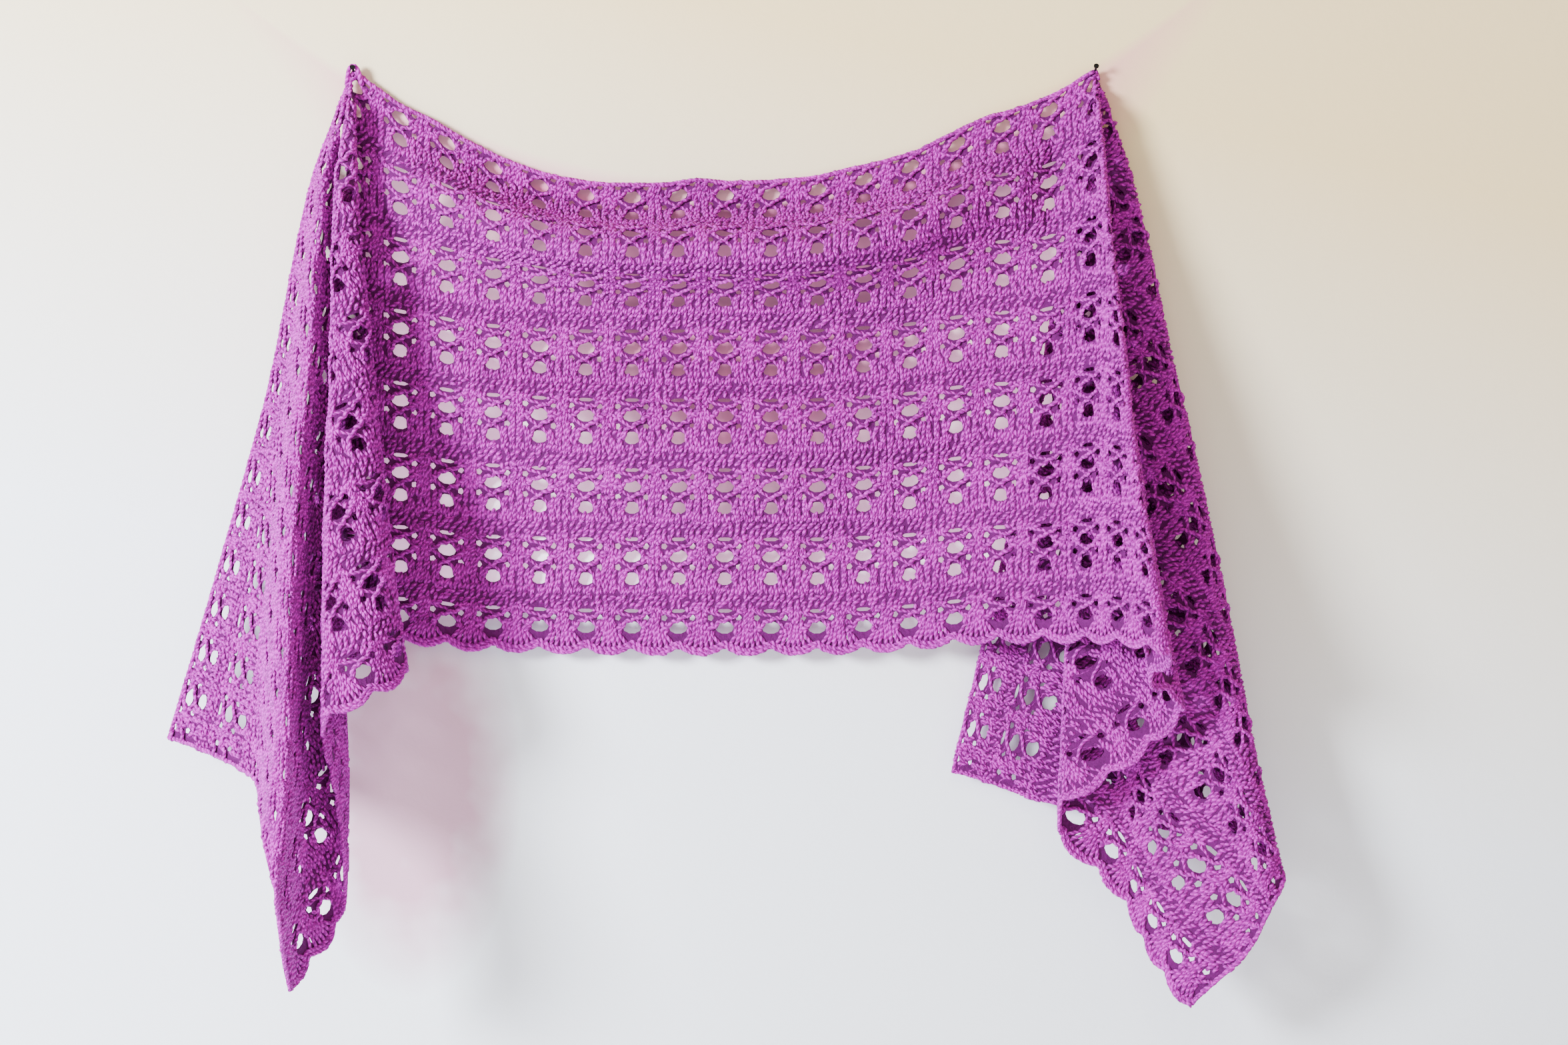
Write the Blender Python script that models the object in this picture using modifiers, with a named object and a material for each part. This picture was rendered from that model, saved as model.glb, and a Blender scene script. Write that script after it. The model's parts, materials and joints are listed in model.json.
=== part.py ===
"""A crocheted shawl that hangs by its top edge from two wall nails, worked out from named sizes.

The cloth is laid out flat first: an outline with a scalloped long edge and one opening per
lace repeat. The flat pattern is triangulated, draped by the functions below, and given its wall.
Metres, +Z up, the wall is the plane y = 0 and the cloth hangs on its -Y side.
"""

import math

import bpy
import numpy as np
from mathutils import Vector
from mathutils.geometry import delaunay_2d_cdt

# Flat cloth
REPEAT_LENGTH = 0.0386
REPEATS_BETWEEN_NAILS = 16
TAIL_REPEATS = 15
ROW_REPEAT = 0.060
FIRST_OPENING_DOWN = 0.0322
OPENING_ROWS = 7
CLOTH_WIDTH = 0.452
SCALLOP_DEPTH = 0.0075
CLOTH_WALL = 0.0012
SEAM_GAP = 0.0012
OPENING_HALF_WIDTH = 0.0070
OPENING_HALF_HEIGHT = 0.0056
SCALLOP_POWER = 0.8

# How the flat pattern is divided: least triangle, clear distances and the lines of inner points
LEAST_TRIANGLE = 1e-9
MERGE_DISTANCE = 1e-7
EDGE_CLEAR = 0.004
CORNER_CLEAR = 0.006
FOOT_CLEAR = 0.012
OPENING_CLEAR = (0.0090, 0.0078)
OPENING_REACH = 0.012
OPENING_FROM_END = 0.011
FAN_DOWNS = np.concatenate([np.arange(0.016, 0.17, 0.0155), np.arange(0.19, 0.45, 0.030)])
COLUMN_DOWNS = np.concatenate([np.arange(0.012, 0.17, 0.016), np.arange(0.182, 0.45, 0.060)])
TAIL_RADII = np.concatenate([np.arange(0.036, 0.10, 0.016), np.arange(0.10, 0.80, 0.034)])
RIDGE_START = 0.05
SEAM_TOP_DOWNS = (0.0110, 0.0180, 0.0240, 0.0300, 0.0360)

# Where it hangs
NAIL_SPACING = REPEAT_LENGTH * REPEATS_BETWEEN_NAILS
APEX_DEPTH = 0.006
NAIL_DROP = 0.0050
LEFT_APEX = (0.0, APEX_DEPTH, NAIL_DROP)
RIGHT_APEX = (NAIL_SPACING, APEX_DEPTH, NAIL_DROP + 0.0010)
COLUMN_STRETCH = 1.051
BIAS_STRETCH = 0.032
TAIL_STRETCH = {LEFT_APEX: 1.0, RIGHT_APEX: 1.034}
FOLD_START_RADIUS = 0.040
LIFT_START_RADIUS = 0.050
NAIL_CLEAR_SIDE = 0.0016
NAIL_CLEAR_BELOW = 0.0048
GATHER_RADIUS = 0.034
GATHER_STEPS = 19

# View point that the outline was read from, and its distance from the top edge: sizes shrink
# towards it with the depth in front of that edge
VIEW_CENTRE = (0.3583, -0.3722)
VIEW_DISTANCE = 1.815

# Nails
NAIL_RADIUS = 0.0010
NAIL_HEAD_RADIUS = 0.0022
NAIL_HEAD_THICKNESS = 0.0010
NAIL_LENGTH = 0.0140
NAIL_TILT = math.radians(24.0)

# Colours
CLOTH_COLOR = (0.40, 0.085, 0.52, 1.0)
NAIL_COLOR = (0.015, 0.015, 0.017, 1.0)

# Top edge and lower edge between the nails: x, z of the top, z of the bottom
EDGE_COLUMNS = ("x", "top", "bottom")
EDGES = (
    (0.0000, 0.0050, -0.4700),
    (0.0383, -0.0228, -0.4700),
    (0.0661, -0.0367, -0.4722),
    (0.0939, -0.0533, -0.4756),
    (0.1356, -0.0728, -0.4767),
    (0.1772, -0.0850, -0.4783),
    (0.2189, -0.0894, -0.4789),
    (0.2578, -0.0894, -0.4794),
    (0.2856, -0.0856, -0.4794),
    (0.3161, -0.0878, -0.4794),
    (0.3717, -0.0850, -0.4794),
    (0.4133, -0.0767, -0.4783),
    (0.4689, -0.0617, -0.4750),
    (0.4967, -0.0478, -0.4722),
    (0.5272, -0.0339, -0.4700),
    (0.5544, -0.0260, -0.4694),
    (0.5872, -0.0125, -0.4689),
    (0.6176, 0.0060, -0.4689),
)

# Swag folds under the top edge: distance down the cloth, lean of the cloth out from the wall
LEAN_COLUMNS = ("down", "lean")
LEANS = (
    (0.000, 0.05),
    (0.015, 0.25),
    (0.032, 0.75),
    (0.060, 1.15),
    (0.082, 0.45),
    (0.094, -0.30),
    (0.120, -0.85),
    (0.150, -0.50),
    (0.185, -0.12),
    (0.220, 0.32),
    (0.252, 0.30),
    (0.290, -0.10),
    (0.330, -0.28),
    (0.380, 0.00),
    (0.452, 0.22),
)

SWAG_STEPS = 96
SWAG_START = 0.035
GREATEST_LEAN = 1.3
LEAN_HALVINGS = 30
CREST_RISE = 0.30
SETTLE_POWER = 1.5

# Folds of a tail: angle in the flat cloth from the nail column, swing to the right at three
# distances from the nail, lift off the wall (all in degrees), and the layer's stand-off
FOLD_COLUMNS = ("angle", "near", "mid", "far", "lift", "standoff")
FOLD_RADII = (0.090, 0.300, 0.580)
FOLD_RIDGES = {
    "left": (6.58, 7.89, 20.9, 24.41, 27.96, 35.8, 38.14, 44.91, 68.65),
    "right": (6.38, 15.06, 16.33, 18.67, 20.5, 32.1, 33.37, 35.51, 38.78, 57.93, 58.54),
}
LEFT_FOLDS = (
    (0.0, 0.0, 0.0, 0.0, 1.3, 0.0010),
    (3.0, -2.4, -2.9, -3.0, 1.5, 0.0012),
    (5.8, -4.4, -5.0, -5.2, 2.8, 0.0040),
    (10.0, -2.2, -2.0, -1.6, 4.8, 0.0085),
    (14.5, 0.4, 2.2, 3.6, 7.2, 0.0140),
    (17.3, 0.8, 3.8, 5.4, 9.6, 0.0170),
    (20.0, -0.4, 2.6, 4.0, 11.8, 0.0195),
    (23.5, -4.0, -0.9, 0.8, 13.3, 0.0215),
    (26.5, -7.6, -3.5, -2.1, 13.5, 0.0215),
    (28.4, -8.8, -4.0, -2.5, 13.1, 0.0205),
    (30.4, -9.2, -3.9, -2.3, 12.2, 0.0190),
    (35.0, -9.0, -3.2, -1.5, 10.2, 0.0172),
    (40.0, -8.8, -2.5, -0.8, 8.6, 0.0152),
    (44.2, -9.0, -2.4, -0.5, 7.3, 0.0132),
    (46.6, -10.0, -3.1, -1.2, 6.6, 0.0124),
    (50.4, -12.0, -5.3, -3.9, 9.4, 0.0128),
    (55.0, -13.8, -7.0, -4.9, 13.5, 0.0136),
    (60.0, -15.4, -8.3, -5.6, 16.1, 0.0140),
    (65.0, -16.8, -9.5, -6.5, 15.5, 0.0134),
    (70.0, -17.8, -10.5, -7.1, 12.4, 0.0118),
    (76.0, -18.8, -11.3, -7.7, 8.7, 0.0098),
    (83.0, -19.8, -13.0, -11.3, 5.2, 0.0068),
    (90.0, -20.8, -14.8, -15.5, 2.6, 0.0040),
)
RIGHT_FOLDS = (
    (0.0, -0.9, -0.9, -0.9, 9.0, 0.0190),
    (4.5, 1.4, 1.8, 2.2, 12.2, 0.0206),
    (9.0, 3.4, 4.2, 5.4, 15.5, 0.0219),
    (11.6, 4.4, 5.4, 6.9, 17.0, 0.0223),
    (13.5, 5.0, 5.9, 7.7, 16.8, 0.0218),
    (15.0, 5.3, 5.9, 7.7, 15.5, 0.0206),
    (17.0, 5.6, 5.4, 6.8, 13.5, 0.0188),
    (20.0, 5.2, 4.5, 5.2, 11.6, 0.0168),
    (23.0, 4.8, 5.3, 6.9, 10.4, 0.0150),
    (25.7, 4.2, 6.2, 8.1, 9.3, 0.0137),
    (28.5, 2.7, 4.8, 6.5, 8.1, 0.0127),
    (34.0, -1.2, 0.6, 1.2, 6.3, 0.0112),
    (37.8, -3.8, -2.9, -2.8, 5.2, 0.0098),
    (39.8, -3.7, -2.9, -2.8, 4.4, 0.0080),
    (42.0, -1.6, -0.8, -0.7, 3.8, 0.0064),
    (45.0, 2.6, 2.3, 2.0, 3.7, 0.0056),
    (48.0, 6.0, 4.4, 3.4, 4.1, 0.0054),
    (51.4, 9.6, 7.2, 5.6, 5.2, 0.0056),
    (55.6, 14.2, 11.2, 10.0, 6.8, 0.0058),
    (58.8, 17.2, 13.5, 11.7, 7.4, 0.0054),
    (62.2, 19.0, 14.6, 13.1, 6.5, 0.0036),
    (66.2, 17.6, 12.8, 10.8, 4.4, 0.0018),
    (74.0, 8.4, 5.0, 2.8, 2.4, 0.0006),
    (80.5, 1.4, -2.6, -5.6, 1.5, 0.0002),
    (90.0, -9.0, -10.2, -11.5, 1.1, 0.0000),
)

# How much of the right tail's stand-off the cloth beside it shares: angle from the nail column
SHARE_COLUMNS = ("angle", "share")
SHARE_WIDENS = 0.060
TAIL_BLEND = 0.045
STRETCH_REACH = 0.022
RIGHT_SHARES = ((0.0, 1.0), (3.2, 0.62), (8.0, 0.42), (13.0, 0.24), (19.0, 0.09), (28.0, 0.0))

# Openings that stay closed because other layers hide them: first and last column, rows
CLOSED_LEFT = ((1, 1, (0, 3, 4, 5, 6)), (2, 2, (0, 1)), (4, 7, (0, 1)))
CLOSED_RIGHT = ((1, 4, (0, 1)), (5, 6, (0,)))


def column(table, names, name):
    """One named column of a table."""
    return np.array(table)[:, names.index(name)]


def smooth(x, xs, ys):
    """Monotone cubic through the points of a table, flat where the table turns."""
    xs = np.asarray(xs, float)
    ys = np.asarray(ys, float)
    steps = np.diff(xs)
    slopes = np.diff(ys) / steps
    tangents = np.zeros_like(ys)
    weights_a = 2 * steps[1:] + steps[:-1]
    weights_b = steps[1:] + 2 * steps[:-1]
    same = slopes[1:] * slopes[:-1] > 0
    safe_a = np.where(same, slopes[:-1], 1.0)
    safe_b = np.where(same, slopes[1:], 1.0)
    mean = (weights_a + weights_b) / (weights_a / safe_a + weights_b / safe_b)
    tangents[1:-1] = np.where(same, mean, 0.0)
    tangents[0] = slopes[0]
    tangents[-1] = slopes[-1]
    x = np.clip(np.asarray(x, float), xs[0], xs[-1])
    at = np.clip(np.searchsorted(xs, x) - 1, 0, len(xs) - 2)
    step = steps[at]
    t = (x - xs[at]) / step
    return (
        ys[at] * (2 * t**3 - 3 * t**2 + 1)
        + tangents[at] * step * (t**3 - 2 * t**2 + t)
        + ys[at + 1] * (3 * t**2 - 2 * t**3)
        + tangents[at + 1] * step * (t**3 - t**2)
    )


def ease(x):
    """Smooth step from 0 to 1."""
    x = np.clip(x, 0.0, 1.0)
    return x * x * (3 - 2 * x)


def tail_point(folds, apex, sideways, down):
    """Picture-plane position and depth of a tail's cloth, from its flat distance off the nail column."""
    flat_down = down * COLUMN_STRETCH
    flat_side = sideways * TAIL_STRETCH[apex]
    radius = np.hypot(flat_side, flat_down)
    angle = np.degrees(np.arctan2(flat_side, np.maximum(flat_down, 1e-9)))
    radius = radius * (1 + BIAS_STRETCH * np.sin(np.radians(2 * angle)) ** 2)
    angles = column(folds, FOLD_COLUMNS, "angle")
    far = column(folds, FOLD_COLUMNS, "far")
    near = smooth(angle, angles, column(folds, FOLD_COLUMNS, "near"))
    mid = smooth(angle, angles, column(folds, FOLD_COLUMNS, "mid"))
    swing = across_radii(radius, (near, mid, smooth(angle, angles, far)))
    lift = np.radians(smooth(angle, angles, column(folds, FOLD_COLUMNS, "lift")))
    standoff = smooth(angle, angles, column(folds, FOLD_COLUMNS, "standoff"))
    swing = np.radians(swing)
    x = apex[0] + radius * np.sin(swing)
    spread = radius * radius / (radius + LIFT_START_RADIUS)
    depth = apex[1] + spread * np.tan(lift) + standoff * ease(radius / FOLD_START_RADIUS)
    z = apex[2] - radius * np.cos(swing)
    return x, depth, z


def across_radii(radius, values):
    """Blend of the values that belong to the three distances from the nail."""
    near, mid, far = values
    to_mid = np.clip((radius - FOLD_RADII[0]) / (FOLD_RADII[1] - FOLD_RADII[0]), 0.0, 1.0)
    to_far = np.clip((radius - FOLD_RADII[1]) / (FOLD_RADII[2] - FOLD_RADII[1]), 0.0, 1.0)
    return near + (mid - near) * to_mid * (2 - to_mid) + (far - mid) * to_far


def swag(along, down):
    """Share of the drop used at this distance down, and the depth that the swag folds add."""
    xs = column(EDGES, EDGE_COLUMNS, "x")
    drops = column(EDGES, EDGE_COLUMNS, "top") - column(EDGES, EDGE_COLUMNS, "bottom")
    drop = np.interp(along, xs, drops)
    side = np.minimum(along, NAIL_SPACING - along)
    stretch = 1 + (COLUMN_STRETCH - 1) * np.exp(-((side / STRETCH_REACH) ** 2))
    length = CLOTH_WIDTH * stretch
    crest = 1 - CREST_RISE * (2 * along / NAIL_SPACING - 1) ** 2
    t = (np.arange(SWAG_STEPS) + 0.5) / SWAG_STEPS
    leans = smooth(
        t[None, :] * CLOTH_WIDTH / crest[:, None],
        column(LEANS, LEAN_COLUMNS, "down"),
        column(LEANS, LEAN_COLUMNS, "lean"),
    )
    wanted = np.minimum(drop / length, 1.0)
    low = np.zeros_like(along)
    high = np.full_like(along, GREATEST_LEAN)
    for _ in range(LEAN_HALVINGS):
        middle = (low + high) / 2
        too_long = np.cos(middle[:, None] * leans).mean(axis=1) > wanted
        low = np.where(too_long, middle, low)
        high = np.where(too_long, high, middle)
    size = low * ease(side / SWAG_START)
    turn = size[:, None] * leans
    fall = np.concatenate([np.zeros((len(along), 1)), np.cumsum(np.cos(turn), axis=1)], axis=1)
    fall /= fall[:, -1:]
    out = np.concatenate([np.zeros((len(along), 1)), np.cumsum(np.sin(turn), axis=1)], axis=1)
    out *= (length / SWAG_STEPS)[:, None]
    out -= out[:, -1:] * np.linspace(0.0, 1.0, SWAG_STEPS + 1)[None, :] ** SETTLE_POWER
    where = np.clip(down / CLOTH_WIDTH, 0.0, 1.0) * SWAG_STEPS
    at = np.minimum(where.astype(int), SWAG_STEPS - 1)
    part = where - at
    rows = np.arange(len(along))
    share = fall[rows, at] * (1 - part) + fall[rows, at + 1] * part
    beyond = np.clip(down / CLOTH_WIDTH - 1.0, 0.0, None)
    depth = out[rows, at] * (1 - part) + out[rows, at + 1] * part
    return share + beyond, depth


def middle_point(along, down):
    """Picture-plane position and depth of the cloth between the nails."""
    xs = column(EDGES, EDGE_COLUMNS, "x")
    top = smooth(along, xs, column(EDGES, EDGE_COLUMNS, "top"))
    zero = np.zeros_like(down)
    left_x, left_depth, left_z = tail_point(LEFT_FOLDS, LEFT_APEX, zero, down)
    right_x, right_depth, right_z = tail_point(RIGHT_FOLDS, RIGHT_APEX, zero, down)
    whole = np.full_like(down, CLOTH_WIDTH)
    left_low = tail_point(LEFT_FOLDS, LEFT_APEX, zero, whole)[2]
    right_low = tail_point(RIGHT_FOLDS, RIGHT_APEX, zero, whole)[2]
    angle = np.degrees(np.arctan2(NAIL_SPACING - along, np.maximum(down, 1e-9)))
    angle = angle / (1 + SHARE_WIDENS / np.maximum(np.hypot(NAIL_SPACING - along, down), 1e-9))
    share_angles = column(RIGHT_SHARES, SHARE_COLUMNS, "angle")
    share = smooth(angle, share_angles, column(RIGHT_SHARES, SHARE_COLUMNS, "share"))
    bottom = smooth(along, xs, column(EDGES, EDGE_COLUMNS, "bottom"))
    side_left = 1 - ease(along / TAIL_BLEND)
    side_right = 1 - ease((NAIL_SPACING - along) / TAIL_BLEND)
    bottom = bottom + side_left * (left_low - bottom) + side_right * (right_low - bottom)
    fall, out = swag(along, down)
    x = along + share * (right_x - RIGHT_APEX[0])
    depth = left_depth + share * (right_depth - left_depth) + out
    z = top + (bottom - top) * fall
    return x, depth, z


def drape(along, down):
    """Where the cloth's middle surface lies: along from the left nail, down from the top edge, flat."""
    along = np.asarray(along, float)
    down = np.asarray(down, float)
    mid = middle_point(np.clip(along, 0.0, NAIL_SPACING), down)
    left = tail_point(LEFT_FOLDS, LEFT_APEX, np.maximum(-along, 0.0), down)
    right = tail_point(RIGHT_FOLDS, RIGHT_APEX, np.maximum(along - NAIL_SPACING, 0.0), down)
    parts = []
    for m, a, b in zip(mid, left, right):
        parts.append(np.where(along < 0, a, np.where(along > NAIL_SPACING, b, m)))
    x, depth, z = parts
    nearer = 1 - (depth - APEX_DEPTH) / VIEW_DISTANCE
    x = VIEW_CENTRE[0] + (x - VIEW_CENTRE[0]) * nearer
    z = VIEW_CENTRE[1] + (z - VIEW_CENTRE[1]) * nearer
    return np.stack([x, -depth, z], axis=-1)


def scallop(along):
    """Lower edge in the flat cloth: a lobe under each fan, a notch under each column of openings."""
    wave = np.abs(np.sin(np.pi * along / REPEAT_LENGTH)) ** SCALLOP_POWER
    return CLOTH_WIDTH - SCALLOP_DEPTH / 2 + SCALLOP_DEPTH * wave


def openings(first, last, closed):
    """Centres of the lace openings from one column to another, without the hidden ones."""
    centres = []
    for number in range(first, last + 1):
        for row in range(OPENING_ROWS):
            hidden = any(a <= abs(number) <= b and row in rows for a, b, rows in closed)
            if not hidden:
                centres.append((number * REPEAT_LENGTH, FIRST_OPENING_DOWN + row * ROW_REPEAT))
    return centres


def opening_outline(centre):
    """Six corners of one opening."""
    shape = ((-1, 0), (-0.55, -1), (0.55, -1), (1, 0), (0.55, 1), (-0.55, 1))
    return [(centre[0] + OPENING_HALF_WIDTH * a, centre[1] + OPENING_HALF_HEIGHT * b) for a, b in shape]


def nail_notch(tail):
    """Corner cut off beside a nail, as (distance along, distance down), from the seam to the top edge."""
    if not tail:
        return [(SEAM_GAP / 2, NAIL_CLEAR_BELOW), (NAIL_CLEAR_SIDE, 0.0)]
    bow = np.radians(np.linspace(0.0, 90.0, GATHER_STEPS))
    return [(GATHER_RADIUS * math.sin(b), GATHER_RADIUS * math.cos(b)) for b in bow]


def panel_outline(start, end, nail_at, tail):
    """Outline of a panel in the flat cloth, clear of the nail at the ends named in nail_at."""
    top_steps = max(2, round((end - start) / (REPEAT_LENGTH / 2)))
    top = [(a, 0.0) for a in np.linspace(start, end, top_steps + 1)]
    low_steps = max(4, round((end - start) / (REPEAT_LENGTH / 4)))
    low = [(a, float(scallop(a))) for a in np.linspace(end, start, low_steps + 1)]
    notch = nail_notch(tail)
    downs = FIRST_OPENING_DOWN + ROW_REPEAT * (np.arange(1, 2 * OPENING_ROWS) / 2 - 0.25)
    downs = np.concatenate([SEAM_TOP_DOWNS, downs])
    downs = downs[(downs > notch[0][1] + EDGE_CLEAR) & (downs < CLOTH_WIDTH - FOOT_CLEAR)]
    right = [(end, float(v)) for v in downs]
    left = [(start, float(v)) for v in downs[::-1]]
    if "end" in nail_at:
        top = [p for p in top if p[0] < end - notch[-1][0] - CORNER_CLEAR]
        top += [(end + SEAM_GAP / 2 - a, v) for a, v in notch[::-1]]
    if "start" in nail_at:
        top = [p for p in top if p[0] > start + notch[-1][0] + CORNER_CLEAR]
        left += [(start - SEAM_GAP / 2 + a, v) for a, v in notch]
    return top + right + low + left


def inner_lines(start, end, origin, folds):
    """Lines of points inside a panel: columns between the nails, rays along the folds in a tail."""
    lines = []
    if folds is None:
        for a in np.arange(start + REPEAT_LENGTH / 2, end, REPEAT_LENGTH):
            lines.append([(a, float(v)) for v in FAN_DOWNS])
        for a in np.arange(start + REPEAT_LENGTH, end - OPENING_FROM_END, REPEAT_LENGTH):
            lines.append([(a, float(v)) for v in COLUMN_DOWNS])
        return lines
    side = 1 if end > origin else -1
    ridges = FOLD_RIDGES["right" if side > 0 else "left"]
    angles = sorted([ray[0] for ray in folds[1:-1]] + list(ridges))
    for angle in np.radians(angles):
        first = RIDGE_START if np.degrees(angle) in ridges else 0.0
        line = [r for r in TAIL_RADII if r > first]
        across = side * math.sin(angle)
        lines.append([(origin + r * across, r * math.cos(angle) / COLUMN_STRETCH) for r in line])
    return lines


def inside(point, outline):
    """Whether a flat point lies inside an outline."""
    x, y = point
    found = False
    for (ax, ay), (bx, by) in zip(outline, outline[1:] + outline[:1]):
        if (ay > y) != (by > y) and x < (bx - ax) * (y - ay) / (by - ay) + ax:
            found = not found
    return found


def clear_of(point, outline, margin):
    """Whether a flat point keeps its distance from every side of an outline."""
    p = np.array(point)
    corners = np.array(outline)
    sides = np.roll(corners, -1, axis=0) - corners
    t = np.clip(((p - corners) * sides).sum(axis=1) / (sides**2).sum(axis=1), 0.0, 1.0)
    return bool(np.hypot(*(p - corners - sides * t[:, None]).T).min() > margin)


def flat_panel(start, end, centres, origin, folds, nail_at):
    """Vertices and triangles of one flat panel with its openings left out."""
    outline = panel_outline(start, end, nail_at, folds is not None)
    marks = [c for c in centres if start + OPENING_FROM_END < c[0] < end - OPENING_FROM_END]
    holes = [opening_outline(c) for c in marks]
    points = list(outline)
    edges = [(i, (i + 1) % len(outline)) for i in range(len(outline))]
    for hole in holes:
        base = len(points)
        points += hole
        edges += [(base + i, base + (i + 1) % len(hole)) for i in range(len(hole))]
    spots = np.array(marks)
    for line in inner_lines(start, end, origin, folds):
        last = None
        for p in line:
            away = np.abs(spots - np.array(p))
            near = bool((away < OPENING_CLEAR).all(axis=1).any())
            if near or not inside(p, outline) or not clear_of(p, outline, EDGE_CLEAR):
                last = None
                continue
            points.append(p)
            if last is not None:
                edges.append((last, len(points) - 1))
            last = len(points) - 1
    made = delaunay_2d_cdt([Vector(p) for p in points], edges, [], 0, MERGE_DISTANCE)
    vertices = np.array([(v.x, v.y) for v in made[0]])
    faces = []
    for face in made[2]:
        corners = vertices[list(face)]
        middle = tuple(corners.mean(axis=0))
        (ax, ay), (bx, by) = corners[1:] - corners[0]
        area = abs(ax * by - ay * bx) / 2
        if area < LEAST_TRIANGLE or not inside(middle, outline):
            continue
        close = [h for h, c in zip(holes, marks) if math.dist(c, middle) < OPENING_REACH]
        if any(inside(middle, h) for h in close):
            continue
        faces.append(list(face))
    used = sorted({i for face in faces for i in face})
    place = {old: new for new, old in enumerate(used)}
    return vertices[used], [[place[i] for i in face] for face in faces]


def material(name, color, roughness):
    """Plain Principled material."""
    made = bpy.data.materials.new(name)
    made.use_nodes = True
    shader = made.node_tree.nodes["Principled BSDF"]
    shader.inputs["Base Color"].default_value = color
    shader.inputs["Roughness"].default_value = roughness
    return made


def add_object(name, mesh, collection, look):
    """Object of that name in the collection, with its own material."""
    made = bpy.data.objects.new(name, mesh)
    made.data.materials.append(look)
    collection.objects.link(made)
    return made


def cloth_panel(name, span, centres, origin, folds, nail_at, collection):
    """One draped panel of the shawl with its wall."""
    flat, faces = flat_panel(span[0], span[1], centres, origin, folds, nail_at)
    mesh = bpy.data.meshes.new(name)
    mesh.from_pydata([tuple(p) for p in drape(flat[:, 0], flat[:, 1])], [], faces)
    mesh.update()
    made = add_object(name, mesh, collection, material(name + "_yarn", CLOTH_COLOR, 0.9))
    wall = made.modifiers.new("Wall", "SOLIDIFY")
    wall.thickness = CLOTH_WALL
    wall.offset = 0.0
    wall.use_rim = True
    return made


def nail(name, apex, collection):
    """Round nail with a flat head, tilted up, lying through the gap under the cloth's top edge."""
    outline = (
        (0.0, 0.0),
        (NAIL_RADIUS, 0.0),
        (NAIL_RADIUS, NAIL_LENGTH),
        (NAIL_HEAD_RADIUS, NAIL_LENGTH),
        (NAIL_HEAD_RADIUS, NAIL_LENGTH + NAIL_HEAD_THICKNESS),
        (0.0, NAIL_LENGTH + NAIL_HEAD_THICKNESS),
    )
    mesh = bpy.data.meshes.new(name)
    mesh.from_pydata([(r, 0.0, h) for r, h in outline], [(i, i + 1) for i in range(len(outline) - 1)], [])
    made = add_object(name, mesh, collection, material(name + "_metal", NAIL_COLOR, 0.4))
    turned = made.modifiers.new("Turned", "SCREW")
    turned.angle = math.tau
    turned.steps = 16
    turned.render_steps = 16
    turned.axis = "Z"
    turned.use_merge_vertices = True
    turned.merge_threshold = 0.00001
    turned.use_normal_flip = True
    made.rotation_euler = (math.radians(90.0) - NAIL_TILT, 0.0, 0.0)
    made.location = (apex[0], 0.0, apex[2] - NAIL_DROP)
    return made


def clear_scene():
    """Empties the startup scene."""
    for obj in list(bpy.data.objects):
        bpy.data.objects.remove(obj, do_unlink=True)


def main():
    clear_scene()
    shawl = bpy.data.collections.new("shawl")
    bpy.context.scene.collection.children.link(shawl)
    half = SEAM_GAP / 2
    left_end = -TAIL_REPEATS * REPEAT_LENGTH
    right_end = NAIL_SPACING + TAIL_REPEATS * REPEAT_LENGTH
    between = REPEATS_BETWEEN_NAILS
    middle = openings(1, between - 1, ())
    left = openings(-TAIL_REPEATS + 1, -1, CLOSED_LEFT)
    right = openings(1, TAIL_REPEATS - 1, CLOSED_RIGHT)
    right = [(a + NAIL_SPACING, v) for a, v in right]
    cloth_panel("middle_panel", (half, NAIL_SPACING - half), middle, 0.0, None, ("start", "end"), shawl)
    cloth_panel("left_tail", (left_end, -half), left, 0.0, LEFT_FOLDS, ("end",), shawl)
    right_span = (NAIL_SPACING + half, right_end)
    cloth_panel("right_tail", right_span, right, NAIL_SPACING, RIGHT_FOLDS, ("start",), shawl)
    nail("left_nail", LEFT_APEX, shawl)
    nail("right_nail", RIGHT_APEX, shawl)


main()
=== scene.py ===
"""Crocheted lace shawl hanging from two wall nails, made stitch by stitch on a draped sheet.

The file is laid out as an add-on and run as a script. Metres, +Z up, the wall is the plane y = 0.
"""

import json
import math

import bpy
import numpy as np
from bpy.props import FloatProperty, FloatVectorProperty, IntProperty, PointerProperty
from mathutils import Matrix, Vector
from mathutils.geometry import delaunay_2d_cdt

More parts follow.
